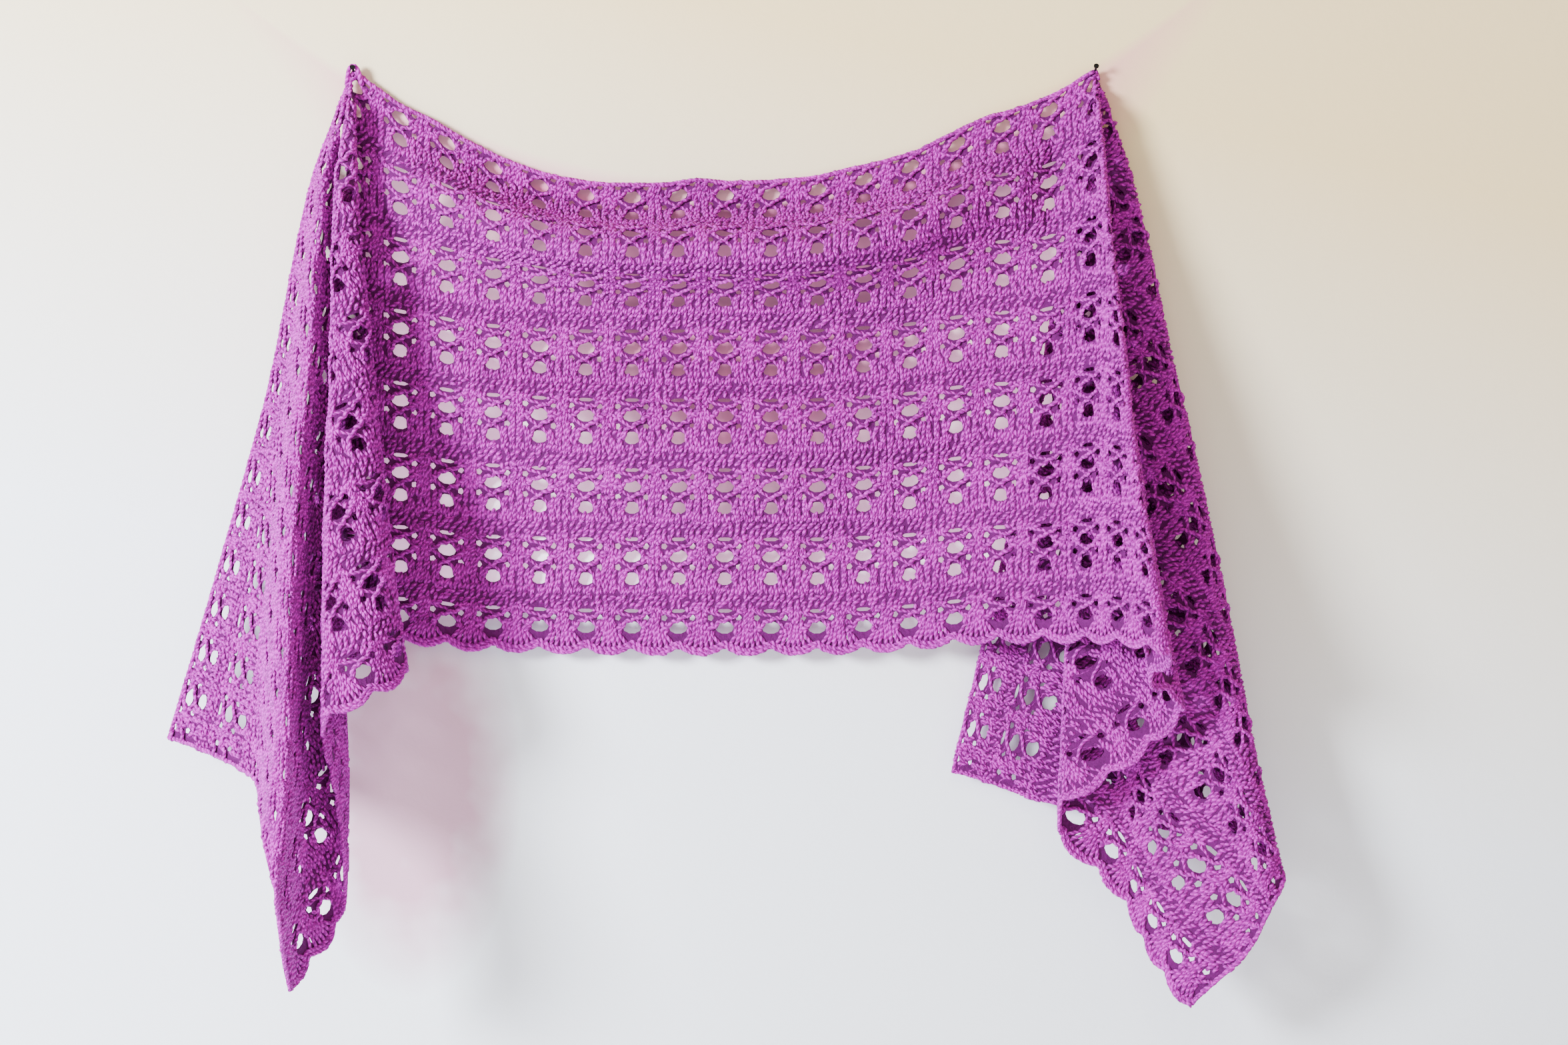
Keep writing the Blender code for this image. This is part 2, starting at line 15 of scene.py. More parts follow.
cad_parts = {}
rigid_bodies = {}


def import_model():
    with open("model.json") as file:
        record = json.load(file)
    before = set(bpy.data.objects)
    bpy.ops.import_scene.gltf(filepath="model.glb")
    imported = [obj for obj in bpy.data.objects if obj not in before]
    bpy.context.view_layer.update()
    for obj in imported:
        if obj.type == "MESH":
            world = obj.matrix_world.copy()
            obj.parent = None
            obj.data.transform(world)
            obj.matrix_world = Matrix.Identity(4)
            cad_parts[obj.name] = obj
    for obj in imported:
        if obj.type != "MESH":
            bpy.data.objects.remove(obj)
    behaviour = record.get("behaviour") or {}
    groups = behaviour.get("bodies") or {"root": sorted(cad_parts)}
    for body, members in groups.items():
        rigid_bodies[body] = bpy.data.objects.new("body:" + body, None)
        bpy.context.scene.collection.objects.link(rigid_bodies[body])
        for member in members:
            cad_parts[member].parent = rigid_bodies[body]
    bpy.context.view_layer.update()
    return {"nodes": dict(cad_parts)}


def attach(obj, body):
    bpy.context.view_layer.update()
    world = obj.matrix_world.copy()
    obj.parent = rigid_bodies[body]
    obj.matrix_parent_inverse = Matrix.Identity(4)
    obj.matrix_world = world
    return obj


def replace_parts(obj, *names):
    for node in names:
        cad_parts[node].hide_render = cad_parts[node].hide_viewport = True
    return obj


bl_info = {
    "name": "Crocheted Lace Shawl",
    "version": (1, 0, 0),
    "blender": (4, 5, 0),
    "location": "View3D > Sidebar > Shawl",
    "description": "Builds a lace shawl from yarn stitches, draped from two wall nails",
    "category": "Add Mesh",
}

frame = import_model()

# Flat lace: one repeat is a fan between two columns of openings
REPEAT_LENGTH = 0.0386
ROW_REPEAT = 0.060
FIRST_OPENING_DOWN = 0.0322
OPENING_ROWS = 7
REPEATS_BETWEEN_NAILS = 16
TAIL_REPEATS = 15
CLOTH_WIDTH = 0.452
SCALLOP_DEPTH = 0.0075
STITCHES_PER_REPEAT = 7
SCALLOP_POWER = 0.8

# Width of a repeat and of half of one, in millimetres
MM = 0.001
SPINE = REPEAT_LENGTH * 1000
HALF = SPINE / 2

# Where it hangs
NAIL_SPACING = REPEAT_LENGTH * REPEATS_BETWEEN_NAILS
TAIL_LENGTH = REPEAT_LENGTH * TAIL_REPEATS
APEX_DEPTH = 0.006
NAIL_DROP = 0.0050
LEFT_APEX = (0.0, APEX_DEPTH, NAIL_DROP)
RIGHT_APEX = (NAIL_SPACING, APEX_DEPTH, NAIL_DROP + 0.0010)
COLUMN_STRETCH = 1.051
BIAS_STRETCH = 0.032
TAIL_STRETCH = {LEFT_APEX: 1.0, RIGHT_APEX: 1.034}
FOLD_START_RADIUS = 0.040
LIFT_START_RADIUS = 0.050
TAIL_BLEND = 0.045
TINY = 1e-9
LEAST_SIZE = 1e-12
HAIR = 1e-6
STEPS_BELOW = 6
VIEW_CENTRE = (0.3583, -0.3722)
VIEW_DISTANCE = 1.815

# Top edge and lower edge between the nails
EDGE_COLUMNS = ("x", "top", "bottom")
EDGES = (
    (0.0000, 0.0050, -0.4700),
    (0.0383, -0.0228, -0.4700),
    (0.0661, -0.0367, -0.4722),
    (0.0939, -0.0533, -0.4756),
    (0.1356, -0.0728, -0.4767),
    (0.1772, -0.0850, -0.4783),
    (0.2189, -0.0894, -0.4789),
    (0.2578, -0.0894, -0.4794),
    (0.2856, -0.0856, -0.4794),
    (0.3161, -0.0878, -0.4794),
    (0.3717, -0.0850, -0.4794),
    (0.4133, -0.0767, -0.4783),
    (0.4689, -0.0617, -0.4750),
    (0.4967, -0.0478, -0.4722),
    (0.5272, -0.0339, -0.4700),
    (0.5544, -0.0260, -0.4694),
    (0.5872, -0.0125, -0.4689),
    (0.6176, 0.0060, -0.4689),
)

# Swag: the steps down a column, where it starts beside a nail, the search for its lean, its crest
SWAG_STEPS = 96
SWAG_START = 0.035
STRETCH_REACH = 0.022
GREATEST_LEAN = 1.3
LEAN_HALVINGS = 30
CREST_RISE = 0.30
SETTLE_POWER = 1.5

# Swag folds under the top edge: distance down the cloth, lean of the cloth out from the wall
LEAN_COLUMNS = ("down", "lean")
LEANS = (
    (0.000, 0.05),
    (0.015, 0.25),
    (0.032, 0.75),
    (0.060, 1.15),
    (0.082, 0.45),
    (0.094, -0.30),
    (0.120, -0.85),
    (0.150, -0.50),
    (0.185, -0.12),
    (0.220, 0.32),
    (0.252, 0.30),
    (0.290, -0.10),
    (0.330, -0.28),
    (0.380, 0.00),
    (0.452, 0.22),
)

# Folds of a tail: angle in the flat cloth from the nail column, swing to the right at three
# distances from the nail, lift off the wall (all in degrees), and the layer's stand-off
FOLD_COLUMNS = ("angle", "near", "mid", "far", "lift", "standoff")
FOLD_RADII = (0.090, 0.300, 0.580)
LEFT_FOLDS = (
    (0.0, 0.0, 0.0, 0.0, 1.3, 0.0010),
    (3.0, -2.4, -2.9, -3.0, 1.5, 0.0012),
    (5.8, -4.4, -5.0, -5.2, 2.8, 0.0040),
    (10.0, -2.2, -2.0, -1.6, 4.8, 0.0085),
    (14.5, 0.4, 2.2, 3.6, 7.2, 0.0140),
    (17.3, 0.8, 3.8, 5.4, 9.6, 0.0170),
    (20.0, -0.4, 2.6, 4.0, 11.8, 0.0195),
    (23.5, -4.0, -0.9, 0.8, 13.3, 0.0215),
    (26.5, -7.6, -3.5, -2.1, 13.5, 0.0215),
    (28.4, -8.8, -4.0, -2.5, 13.1, 0.0205),
    (30.4, -9.2, -3.9, -2.3, 12.2, 0.0190),
    (35.0, -9.0, -3.2, -1.5, 10.2, 0.0172),
    (40.0, -8.8, -2.5, -0.8, 8.6, 0.0152),
    (44.2, -9.0, -2.4, -0.5, 7.3, 0.0132),
    (46.6, -10.0, -3.1, -1.2, 6.6, 0.0124),
    (50.4, -12.0, -5.3, -3.9, 9.4, 0.0128),
    (55.0, -13.8, -7.0, -4.9, 13.5, 0.0136),
    (60.0, -15.4, -8.3, -5.6, 16.1, 0.0140),
    (65.0, -16.8, -9.5, -6.5, 15.5, 0.0134),
    (70.0, -17.8, -10.5, -7.1, 12.4, 0.0118),
    (76.0, -18.8, -11.3, -7.7, 8.7, 0.0098),
    (83.0, -19.8, -13.0, -11.3, 5.2, 0.0068),
    (90.0, -20.8, -14.8, -15.5, 2.6, 0.0040),
)
RIGHT_FOLDS = (
    (0.0, -0.9, -0.9, -0.9, 9.0, 0.0190),
    (4.5, 1.4, 1.8, 2.2, 12.2, 0.0206),
    (9.0, 3.4, 4.2, 5.4, 15.5, 0.0219),
    (11.6, 4.4, 5.4, 6.9, 17.0, 0.0223),
    (13.5, 5.0, 5.9, 7.7, 16.8, 0.0218),
    (15.0, 5.3, 5.9, 7.7, 15.5, 0.0206),
    (17.0, 5.6, 5.4, 6.8, 13.5, 0.0188),
    (20.0, 5.2, 4.5, 5.2, 11.6, 0.0168),
    (23.0, 4.8, 5.3, 6.9, 10.4, 0.0150),
    (25.7, 4.2, 6.2, 8.1, 9.3, 0.0137),
    (28.5, 2.7, 4.8, 6.5, 8.1, 0.0127),
    (34.0, -1.2, 0.6, 1.2, 6.3, 0.0112),
    (37.8, -3.8, -2.9, -2.8, 5.2, 0.0098),
    (39.8, -3.7, -2.9, -2.8, 4.4, 0.0080),
    (42.0, -1.6, -0.8, -0.7, 3.8, 0.0064),
    (45.0, 2.6, 2.3, 2.0, 3.7, 0.0056),
    (48.0, 6.0, 4.4, 3.4, 4.1, 0.0054),
    (51.4, 9.6, 7.2, 5.6, 5.2, 0.0056),
    (55.6, 14.2, 11.2, 10.0, 6.8, 0.0058),
    (58.8, 17.2, 13.5, 11.7, 7.4, 0.0054),
    (62.2, 19.0, 14.6, 13.1, 6.5, 0.0036),
    (66.2, 17.6, 12.8, 10.8, 4.4, 0.0018),
    (74.0, 8.4, 5.0, 2.8, 2.4, 0.0006),
    (80.5, 1.4, -2.6, -5.6, 1.5, 0.0002),
    (90.0, -9.0, -10.2, -11.5, 1.1, 0.0000),
)

# How much of the right tail's stand-off the cloth beside it shares: angle from the nail column
SHARE_COLUMNS = ("angle", "share")
SHARE_WIDENS = 0.060
RIGHT_SHARES = ((0.0, 1.0), (3.2, 0.62), (8.0, 0.42), (13.0, 0.24), (19.0, 0.09), (28.0, 0.0))


# Drape


def column(table, names, name):
    """One named column of a table."""
    return np.array(table)[:, names.index(name)]


def look_up(x, table, names, name):
    """One named column of a table, read smoothly at places of its first column."""
    return smooth(x, column(table, names, names[0]), column(table, names, name))


def smooth(x, xs, ys):
    """Monotone cubic through the points of a table: each span is a Hermite blend of its two ends."""
    xs = np.asarray(xs, float)
    ys = np.asarray(ys, float)
    steps = np.diff(xs)
    slopes = np.diff(ys) / steps
    tangents = np.zeros_like(ys)
    weights_a = 2 * steps[1:] + steps[:-1]
    weights_b = steps[1:] + 2 * steps[:-1]
    same = slopes[1:] * slopes[:-1] > 0
    safe_a = np.where(same, slopes[:-1], 1.0)
    safe_b = np.where(same, slopes[1:], 1.0)
    mean = (weights_a + weights_b) / (weights_a / safe_a + weights_b / safe_b)
    tangents[1:-1] = np.where(same, mean, 0.0)
    tangents[0] = slopes[0]
    tangents[-1] = slopes[-1]
    x = np.clip(np.asarray(x, float), xs[0], xs[-1])
    at = np.clip(np.searchsorted(xs, x) - 1, 0, len(xs) - 2)
    step = steps[at]
    t = (x - xs[at]) / step
    return (
        ys[at] * (2 * t**3 - 3 * t**2 + 1)
        + tangents[at] * step * (t**3 - 2 * t**2 + t)
        + ys[at + 1] * (3 * t**2 - 2 * t**3)
        + tangents[at + 1] * step * (t**3 - t**2)
    )


def ease(x):
    """Smooth step from 0 to 1: 3 x squared less 2 x cubed."""
    x = np.clip(x, 0.0, 1.0)
    return x * x * (3 - 2 * x)


def running(steps):
    """Sum of the steps so far in each row, from zero."""
    return np.concatenate([np.zeros((len(steps), 1)), np.cumsum(steps, axis=1)], axis=1)


def unit(vectors):
    """Vectors made unit length."""
    return vectors / np.maximum(np.linalg.norm(vectors, axis=-1, keepdims=True), LEAST_SIZE)


def across_radii(radius, values):
    """Blend of the values that belong to the three distances from the nail."""
    near, mid, far = values
    to_mid = np.clip((radius - FOLD_RADII[0]) / (FOLD_RADII[1] - FOLD_RADII[0]), 0.0, 1.0)
    to_far = np.clip((radius - FOLD_RADII[1]) / (FOLD_RADII[2] - FOLD_RADII[1]), 0.0, 1.0)
    return near + (mid - near) * to_mid * (2 - to_mid) + (far - mid) * to_far


def tail_point(folds, apex, sideways, down):
    """Tail cloth in polar form: a point keeps its distance from the nail, its flat angle gives its
    swing in the wall plane and its lift off the wall."""
    flat_down = down * COLUMN_STRETCH
    flat_side = sideways * TAIL_STRETCH[apex]
    radius = np.hypot(flat_side, flat_down)
    angle = np.degrees(np.arctan2(flat_side, np.maximum(flat_down, TINY)))
    radius = radius * (1 + BIAS_STRETCH * np.sin(np.radians(2 * angle)) ** 2)
    *swings, lift, standoff = (look_up(angle, folds, FOLD_COLUMNS, name) for name in FOLD_COLUMNS[1:])
    swing = np.radians(across_radii(radius, swings))
    lift = np.radians(lift)
    spread = radius * radius / (radius + LIFT_START_RADIUS)
    x = apex[0] + radius * np.sin(swing)
    depth = apex[1] + spread * np.tan(lift) + standoff * ease(radius / FOLD_START_RADIUS)
    z = apex[2] - radius * np.cos(swing)
    return x, depth, z


def swag(along, down):
    """Share of the drop used at each distance down, and the depth that the swag folds add, on a grid
    of columns: each column of cloth leans out and in so that its length fits the drop it has."""
    xs = column(EDGES, EDGE_COLUMNS, "x")
    drops = column(EDGES, EDGE_COLUMNS, "top") - column(EDGES, EDGE_COLUMNS, "bottom")
    drop = np.interp(along, xs, drops)
    side = np.minimum(along, NAIL_SPACING - along)
    stretch = 1 + (COLUMN_STRETCH - 1) * np.exp(-((side / STRETCH_REACH) ** 2))
    length = CLOTH_WIDTH * stretch
    crest = 1 - CREST_RISE * (2 * along / NAIL_SPACING - 1) ** 2
    t = (np.arange(SWAG_STEPS) + 0.5) / SWAG_STEPS
    leans = look_up(t[None, :] * CLOTH_WIDTH / crest[:, None], LEANS, LEAN_COLUMNS, "lean")
    wanted = np.minimum(drop / length, 1.0)
    low = np.zeros_like(along)
    high = np.full_like(along, GREATEST_LEAN)
    for _ in range(LEAN_HALVINGS):
        middle = (low + high) / 2
        too_long = np.cos(middle[:, None] * leans).mean(axis=1) > wanted
        low = np.where(too_long, middle, low)
        high = np.where(too_long, high, middle)
    size = low * ease(side / SWAG_START)
    turn = size[:, None] * leans
    fall = running(np.cos(turn))
    fall /= fall[:, -1:]
    out = running(np.sin(turn))
    out *= (length / SWAG_STEPS)[:, None]
    out -= out[:, -1:] * np.linspace(0.0, 1.0, SWAG_STEPS + 1)[None, :] ** SETTLE_POWER
    where = np.clip(down / CLOTH_WIDTH, 0.0, 1.0) * SWAG_STEPS
    at = np.minimum(where.astype(int), SWAG_STEPS - 1)
    part = where - at
    share = fall[:, at] * (1 - part) + fall[:, at + 1] * part
    depth = out[:, at] * (1 - part) + out[:, at + 1] * part
    beyond = np.clip(down / CLOTH_WIDTH - 1.0, 0.0, None)
    return share + beyond, depth


def middle_point(along, down):
    """Cloth between the nails, on a grid: the top edge's curve, then the drop shared out by the swag,
    with both ends blended into the tails."""
    top = look_up(along, EDGES, EDGE_COLUMNS, "top")[:, None]
    zero = np.zeros_like(down)
    left_depth = tail_point(LEFT_FOLDS, LEFT_APEX, zero, down)[1]
    right_x, right_depth, _ = tail_point(RIGHT_FOLDS, RIGHT_APEX, zero, down)
    whole = np.array([CLOTH_WIDTH])
    left_low = tail_point(LEFT_FOLDS, LEFT_APEX, np.zeros(1), whole)[2]
    right_low = tail_point(RIGHT_FOLDS, RIGHT_APEX, np.zeros(1), whole)[2]
    side = NAIL_SPACING - along[:, None]
    reach = np.maximum(np.hypot(side, down[None, :]), TINY)
    angle = np.degrees(np.arctan2(side, np.maximum(down[None, :], TINY))) / (1 + SHARE_WIDENS / reach)
    share = look_up(angle, RIGHT_SHARES, SHARE_COLUMNS, "share")
    bottom = look_up(along, EDGES, EDGE_COLUMNS, "bottom")
    side_left = 1 - ease(along / TAIL_BLEND)
    side_right = 1 - ease((NAIL_SPACING - along) / TAIL_BLEND)
    bottom = bottom + side_left * (left_low - bottom) + side_right * (right_low - bottom)
    fall, out = swag(along, down)
    x = along[:, None] + share * (right_x - RIGHT_APEX[0])
    depth = left_depth + share * (right_depth - left_depth) + out
    z = top + (bottom[:, None] - top) * fall
    return x, depth, z


class Drape:
    """The cloth's middle surface and its outward direction, worked out once on a fine flat grid and
    read between the grid points by straight blends."""

    def __init__(self, steps_per_repeat, down_step):
        repeats = 2 * TAIL_REPEATS + REPEATS_BETWEEN_NAILS
        self.start = -TAIL_LENGTH
        self.step = REPEAT_LENGTH / steps_per_repeat
        self.down_step = down_step
        self.along = self.start + self.step * np.arange(repeats * steps_per_repeat + 1)
        self.down = down_step * np.arange(int(CLOTH_WIDTH / down_step) + STEPS_BELOW)
        before = self.along < -HAIR
        after = self.along > NAIL_SPACING + HAIR
        between = ~before & ~after
        down = self.down[None, :]
        left = tail_point(LEFT_FOLDS, LEFT_APEX, -self.along[before][:, None], down)
        right = tail_point(RIGHT_FOLDS, RIGHT_APEX, self.along[after][:, None] - NAIL_SPACING, down)
        middle = middle_point(np.clip(self.along[between], 0.0, NAIL_SPACING), self.down)
        x, depth, z = (np.concatenate(parts, axis=0) for parts in zip(left, middle, right))
        nearer = 1 - (depth - APEX_DEPTH) / VIEW_DISTANCE
        x = VIEW_CENTRE[0] + (x - VIEW_CENTRE[0]) * nearer
        z = VIEW_CENTRE[1] + (z - VIEW_CENTRE[1]) * nearer
        self.points = np.stack([x, -depth, z], axis=-1)
        across, fall = np.gradient(self.points, axis=(0, 1))
        self.normals = unit(np.cross(fall, across))

    def at(self, along, down):
        """Points and outward directions at flat positions."""
        i = np.clip((along - self.start) / self.step, 0.0, len(self.along) - 1.001)
        j = np.clip(down / self.down_step, 0.0, len(self.down) - 1.001)
        i0 = i.astype(int)
        j0 = j.astype(int)
        a = (i - i0)[..., None]
        b = (j - j0)[..., None]
        found = []
        for grid in (self.points, self.normals):
            low = grid[i0, j0] * (1 - a) + grid[i0 + 1, j0] * a
            high = grid[i0, j0 + 1] * (1 - a) + grid[i0 + 1, j0 + 1] * a
            found.append(low * (1 - b) + high * b)
        points, normals = found
        return points, unit(normals)


DRAPE = Drape(20, 0.002)


# Stretches of the shawl: first and last whole column of openings, first and last column of stitches,
# the half cell at the short end as its column and its left side in millimetres, the solid that it is
LAST_REPEAT = REPEATS_BETWEEN_NAILS + TAIL_REPEATS
STRETCHES = {
    "left": (-TAIL_REPEATS + 1, -1, -TAIL_REPEATS, -1, ((-TAIL_REPEATS, HALF),), "left_tail"),
    "middle": (0, REPEATS_BETWEEN_NAILS, 0, REPEATS_BETWEEN_NAILS, (), "middle_panel"),
    "right": (
        REPEATS_BETWEEN_NAILS + 1,
        LAST_REPEAT - 1,
        REPEATS_BETWEEN_NAILS + 1,
        LAST_REPEAT,
        ((LAST_REPEAT, 0.0),),
        "right_tail",
    ),
}


# Yarn: a strand's tip, its sides, how thick its ends are, how far strands stray, and what is left out
# of an edge
TIP_LENGTH = 0.0006
GRAIN_SIDES = 4
BORDER_SIDES = 5
GRAIN_ENDS = 0.72
BORDER_ENDS = 0.55
LOOSE = 0.0006
TIGHT = 0.0002
LEAN_SHARE = 1.6
SIZE_SPREAD = 0.05
LONGEST_START = 0.05
LEAST_DOWN = 0.0004
HIGHEST = 0.0006
PAST_END = 0.002


# Mesh helpers


def add_object(name, data):
    """New object in the scene."""
    made = bpy.data.objects.new(name, data)
    bpy.context.scene.collection.objects.link(made)
    return made


def add_piece(name, points, faces, sizes, look, along):
    """Piece of the shawl, of faces given as one flat list of corners and the number of corners of each
    face. along holds two texture values for each corner."""
    mesh = bpy.data.meshes.new(name)
    mesh.vertices.add(len(points))
    mesh.vertices.foreach_set("co", np.ascontiguousarray(points, np.float32).ravel())
    mesh.loops.add(len(faces))
    mesh.loops.foreach_set("vertex_index", faces.astype(np.int32))
    mesh.polygons.add(len(sizes))
    starts = np.concatenate([[0], np.cumsum(sizes)[:-1]]).astype(np.int32)
    mesh.polygons.foreach_set("loop_start", starts)
    layer = mesh.uv_layers.new(name="Yarn")
    layer.data.foreach_set("uv", np.ascontiguousarray(along, np.float32).ravel())
    mesh.update(calc_edges=True)
    mesh.validate()
    mesh.shade_smooth()
    mesh.materials.append(look)
    made = add_object(name, mesh)
    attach(made, "root")
    return made


def strand_arrays(points, normals, width, height, taper, sides):
    """Closed tubes along many strands at once. Each ring is an ellipse across the strand, width in the
    cloth and height out of it, and each end comes to a point."""
    strands, rings = points.shape[:2]
    forward = unit(np.gradient(points, axis=1))
    across = unit(np.cross(forward, normals))
    out = np.cross(across, forward)
    turn = math.tau * np.arange(sides) / sides
    width = np.broadcast_to(np.asarray(width, float), (strands,))[:, None, None, None]
    height = np.broadcast_to(np.asarray(height, float), (strands,))[:, None, None, None]
    shape = np.asarray(taper)[None, :, None, None]
    body = points[:, :, None, :]
    body = body + across[:, :, None, :] * np.cos(turn)[None, None, :, None] * width * shape
    body = body + out[:, :, None, :] * np.sin(turn)[None, None, :, None] * height * shape
    first_tip = points[:, 0] - forward[:, 0] * TIP_LENGTH
    last_tip = points[:, -1] + forward[:, -1] * TIP_LENGTH
    tips = np.stack([first_tip, last_tip], axis=1)
    vertices = np.concatenate([body.reshape(strands, rings * sides, 3), tips], axis=1)
    return vertices, running(np.linalg.norm(np.diff(points, axis=1), axis=-1))


def strand_faces(rings, sides):
    """Corners and texture places of one strand's faces: quads between rings, then a fan at each end."""
    ring = np.arange(rings - 1)[:, None]
    side = np.arange(sides)[None, :]
    after = (side + 1) % sides
    quads = np.stack(
        [
            ring * sides + side,
            ring * sides + after,
            (ring + 1) * sides + after,
            (ring + 1) * sides + side,
        ],
        axis=-1,
    ).reshape(-1, 4)
    ring, side = np.broadcast_arrays(ring, side)
    quad_rings = np.stack([ring, ring, ring + 1, ring + 1], axis=-1).reshape(-1, 4)
    quad_turns = np.stack([side, side + 1, side + 1, side], axis=-1).reshape(-1, 4)
    s = np.arange(sides)
    last = (rings - 1) * sides
    start_fan = np.stack([(s + 1) % sides, s, np.full(sides, rings * sides)], axis=-1)
    end_fan = np.stack([last + s, last + (s + 1) % sides, np.full(sides, rings * sides + 1)], axis=-1)
    corners = np.concatenate([quads.ravel(), start_fan.ravel(), end_fan.ravel()])
    sizes = np.concatenate([np.full(len(quads), 4), np.full(2 * sides, 3)])
    fan_rings = np.concatenate([np.zeros(3 * sides, int), np.full(3 * sides, rings - 1)])
    fan_turns = np.concatenate(
        [np.stack([s + 1, s, s + 0.5], axis=-1).ravel(), np.stack([s, s + 1, s + 0.5], axis=-1).ravel()]
    )
    ring_of = np.concatenate([quad_rings.ravel(), fan_rings])
    turn_of = np.concatenate([quad_turns.ravel(), fan_turns]) / sides
    return corners, sizes, ring_of, turn_of


class Yarns:
    """Gathers many strands of several kinds and turns them into one piece."""

    def __init__(self, seed):
        self.points = []
        self.corners = []
        self.sizes = []
        self.texture = []
        self.count = 0
        self.random = np.random.default_rng(seed)

    def add(self, paths, width, height, sides, ends=BORDER_ENDS, loose=TIGHT):
        """Strands along paths given as (strand, point, (along, down, out)) in flat metres. The strand's
        thickness swells from its ends to its middle, and each strand is moved and sized a little."""
        paths = np.array(paths, float)
        strands, rings = paths.shape[:2]
        paths[:, :, :2] += self.random.normal(0.0, loose, (strands, 1, 2))
        lean = self.random.normal(0.0, loose * LEAN_SHARE, (strands, 1, 2))
        paths[:, :, :2] += lean * np.linspace(-1.0, 1.0, rings)[None, :, None]
        keep = paths[:, :, 1].max(axis=1) > LEAST_DOWN
        keep &= paths[:, :, 0].min(axis=1) > -TAIL_LENGTH - PAST_END
        keep &= paths[:, :, 0].max(axis=1) < NAIL_SPACING + TAIL_LENGTH + PAST_END
        paths = paths[keep]
        if not len(paths):
            return
        strands = len(paths)
        down = np.clip(paths[:, :, 1], HIGHEST, None)
        points, normals = DRAPE.at(paths[:, :, 0], down)
        points = points + normals * paths[:, :, 2:3]
        t = np.linspace(0.0, 1.0, rings)
        taper = ends + (1 - ends) * np.sqrt(np.clip(np.sin(np.pi * t), 0.0, 1.0))
        size = 1 + self.random.normal(0.0, SIZE_SPREAD, strands)
        self.gather(points, normals, width * size, height * size, taper, sides)

    def add_copies(self, paths, places, width, height, loose=LOOSE):
        """Copies of the same grains at many flat places."""
        self.add(repeat_over(paths, places), width, height, GRAIN_SIDES, GRAIN_ENDS, loose)

    def add_solid(self, paths, radius, sides):
        """Strands along paths given in place, as (strand, point, (x, y, z)) in metres."""
        paths = np.array(paths, float)
        outward = np.broadcast_to(np.array([0.0, -1.0, 0.0]), paths.shape)
        self.gather(paths, outward, radius, radius, np.ones(paths.shape[1]), sides)

    def gather(self, points, normals, width, height, taper, sides):
        """Keeps the tubes along strands whose points and outward directions are known."""
        strands, rings = points.shape[:2]
        vertices, run = strand_arrays(points, normals, width, height, taper, sides)
        corners, sizes, ring_of, turn_of = strand_faces(rings, sides)
        step = vertices.shape[1]
        offsets = self.count + step * np.arange(strands)[:, None]
        start = self.random.uniform(0.0, LONGEST_START, (strands, 1))
        self.points.append(vertices.reshape(-1, 3))
        self.corners.append((corners[None, :] + offsets).ravel())
        self.sizes.append(np.tile(sizes, strands))
        around = np.broadcast_to(turn_of, (strands, len(turn_of)))
        places = np.stack([run[:, ring_of] + start, around], axis=-1)
        self.texture.append(places.reshape(-1, 2))
        self.count += step * strands

    def piece(self, name, look):
        """Makes one piece of the gathered strands."""
        add_piece(
            name,
            np.concatenate(self.points),
            np.concatenate(self.corners),
            np.concatenate(self.sizes),
            look,
            np.concatenate(self.texture),
        )


def curve_through(points, count):
    """Smooth curve through a few points, read at even steps of its length: monotone cubics of
    each coordinate over the length."""
    points = np.asarray(points, float)
    run = np.concatenate([[0.0], np.cumsum(np.linalg.norm(np.diff(points, axis=0), axis=1))])
    t = np.linspace(0.0, run[-1], count)
    return np.stack([smooth(t, run, points[:, k]) for k in range(points.shape[1])], axis=-1)


def repeat_over(paths, places):
    """Copies of a list of paths at many flat places, as one array."""
    paths = np.array(paths) * MM
    places = np.array(places)
    moved = paths[None] + np.concatenate([places, np.zeros((len(places), 1))], axis=1)[:, None, None, :]
    return moved.reshape(-1, *paths.shape[1:])


# Stitch shapes, in millimetres: to the right of the left spine, down from the round opening's
# centre, out of the cloth
ARCH_OVER_DIAMOND = (
    (38.4, -36.4, 0.6),
    (33.6, -33.4, 0.9),
    (27.0, -29.6, 1.2),
    (20.0, -26.9, 1.2),
    (14.6, -24.6, 1.0),
    (11.4, -21.6, 0.8),
    (7.6, -18.2, 0.5),
)
ARCH_UNDER_SLIT = (
    (0.8, -36.6, 0.2),
    (5.2, -34.2, 0.2),
    (12.0, -31.4, 0.2),
    (19.3, -30.2, -0.4),
    (24.4, -26.0, -0.6),
    (27.6, -22.2, -0.2),
    (31.4, -18.2, 0.2),
)
ARCH_UNDER_DIAMOND = (
    (38.0, -23.6, 0.5),
    (33.4, -20.0, 0.8),
    (28.0, -15.9, 1.2),
    (21.6, -12.0, 1.2),
    (16.2, -8.9, 1.0),
    (13.2, -5.4, 0.8),
    (12.2, 0.5, 0.4),
)
ARCH_OVER_ROUND = (
    (2.4, -21.6, 0.2),
    (7.2, -18.6, 0.2),
    (12.2, -15.0, 0.0),
    (17.2, -11.4, -0.5),
    (22.4, -8.8, -0.3),
    (25.6, -5.2, 0.2),
    (26.4, 0.5, 0.2),
)
# Short stitches of half a fan: right of the spine at head and foot, distances down of head and foot
FAN_LEAVES = (
    (5.2, 4.4, -37.8, -32.2),
    (9.0, 8.0, -37.2, -32.2),
    (12.4, 10.9, -36.6, -32.8),
    (5.2, 6.4, -25.6, -20.2),
    (9.2, 10.0, -25.2, -20.4),
    (6.8, 5.2, -20.4, -14.6),
    (10.4, 9.4, -19.8, -14.4),
)
# The leaves on the left mirror those on the right but for these, and all bow out
LEAF_HEAD_OFF = 0.8
LEAF_FOOT_OFF = 0.6
LEAF_BOW = 0.6

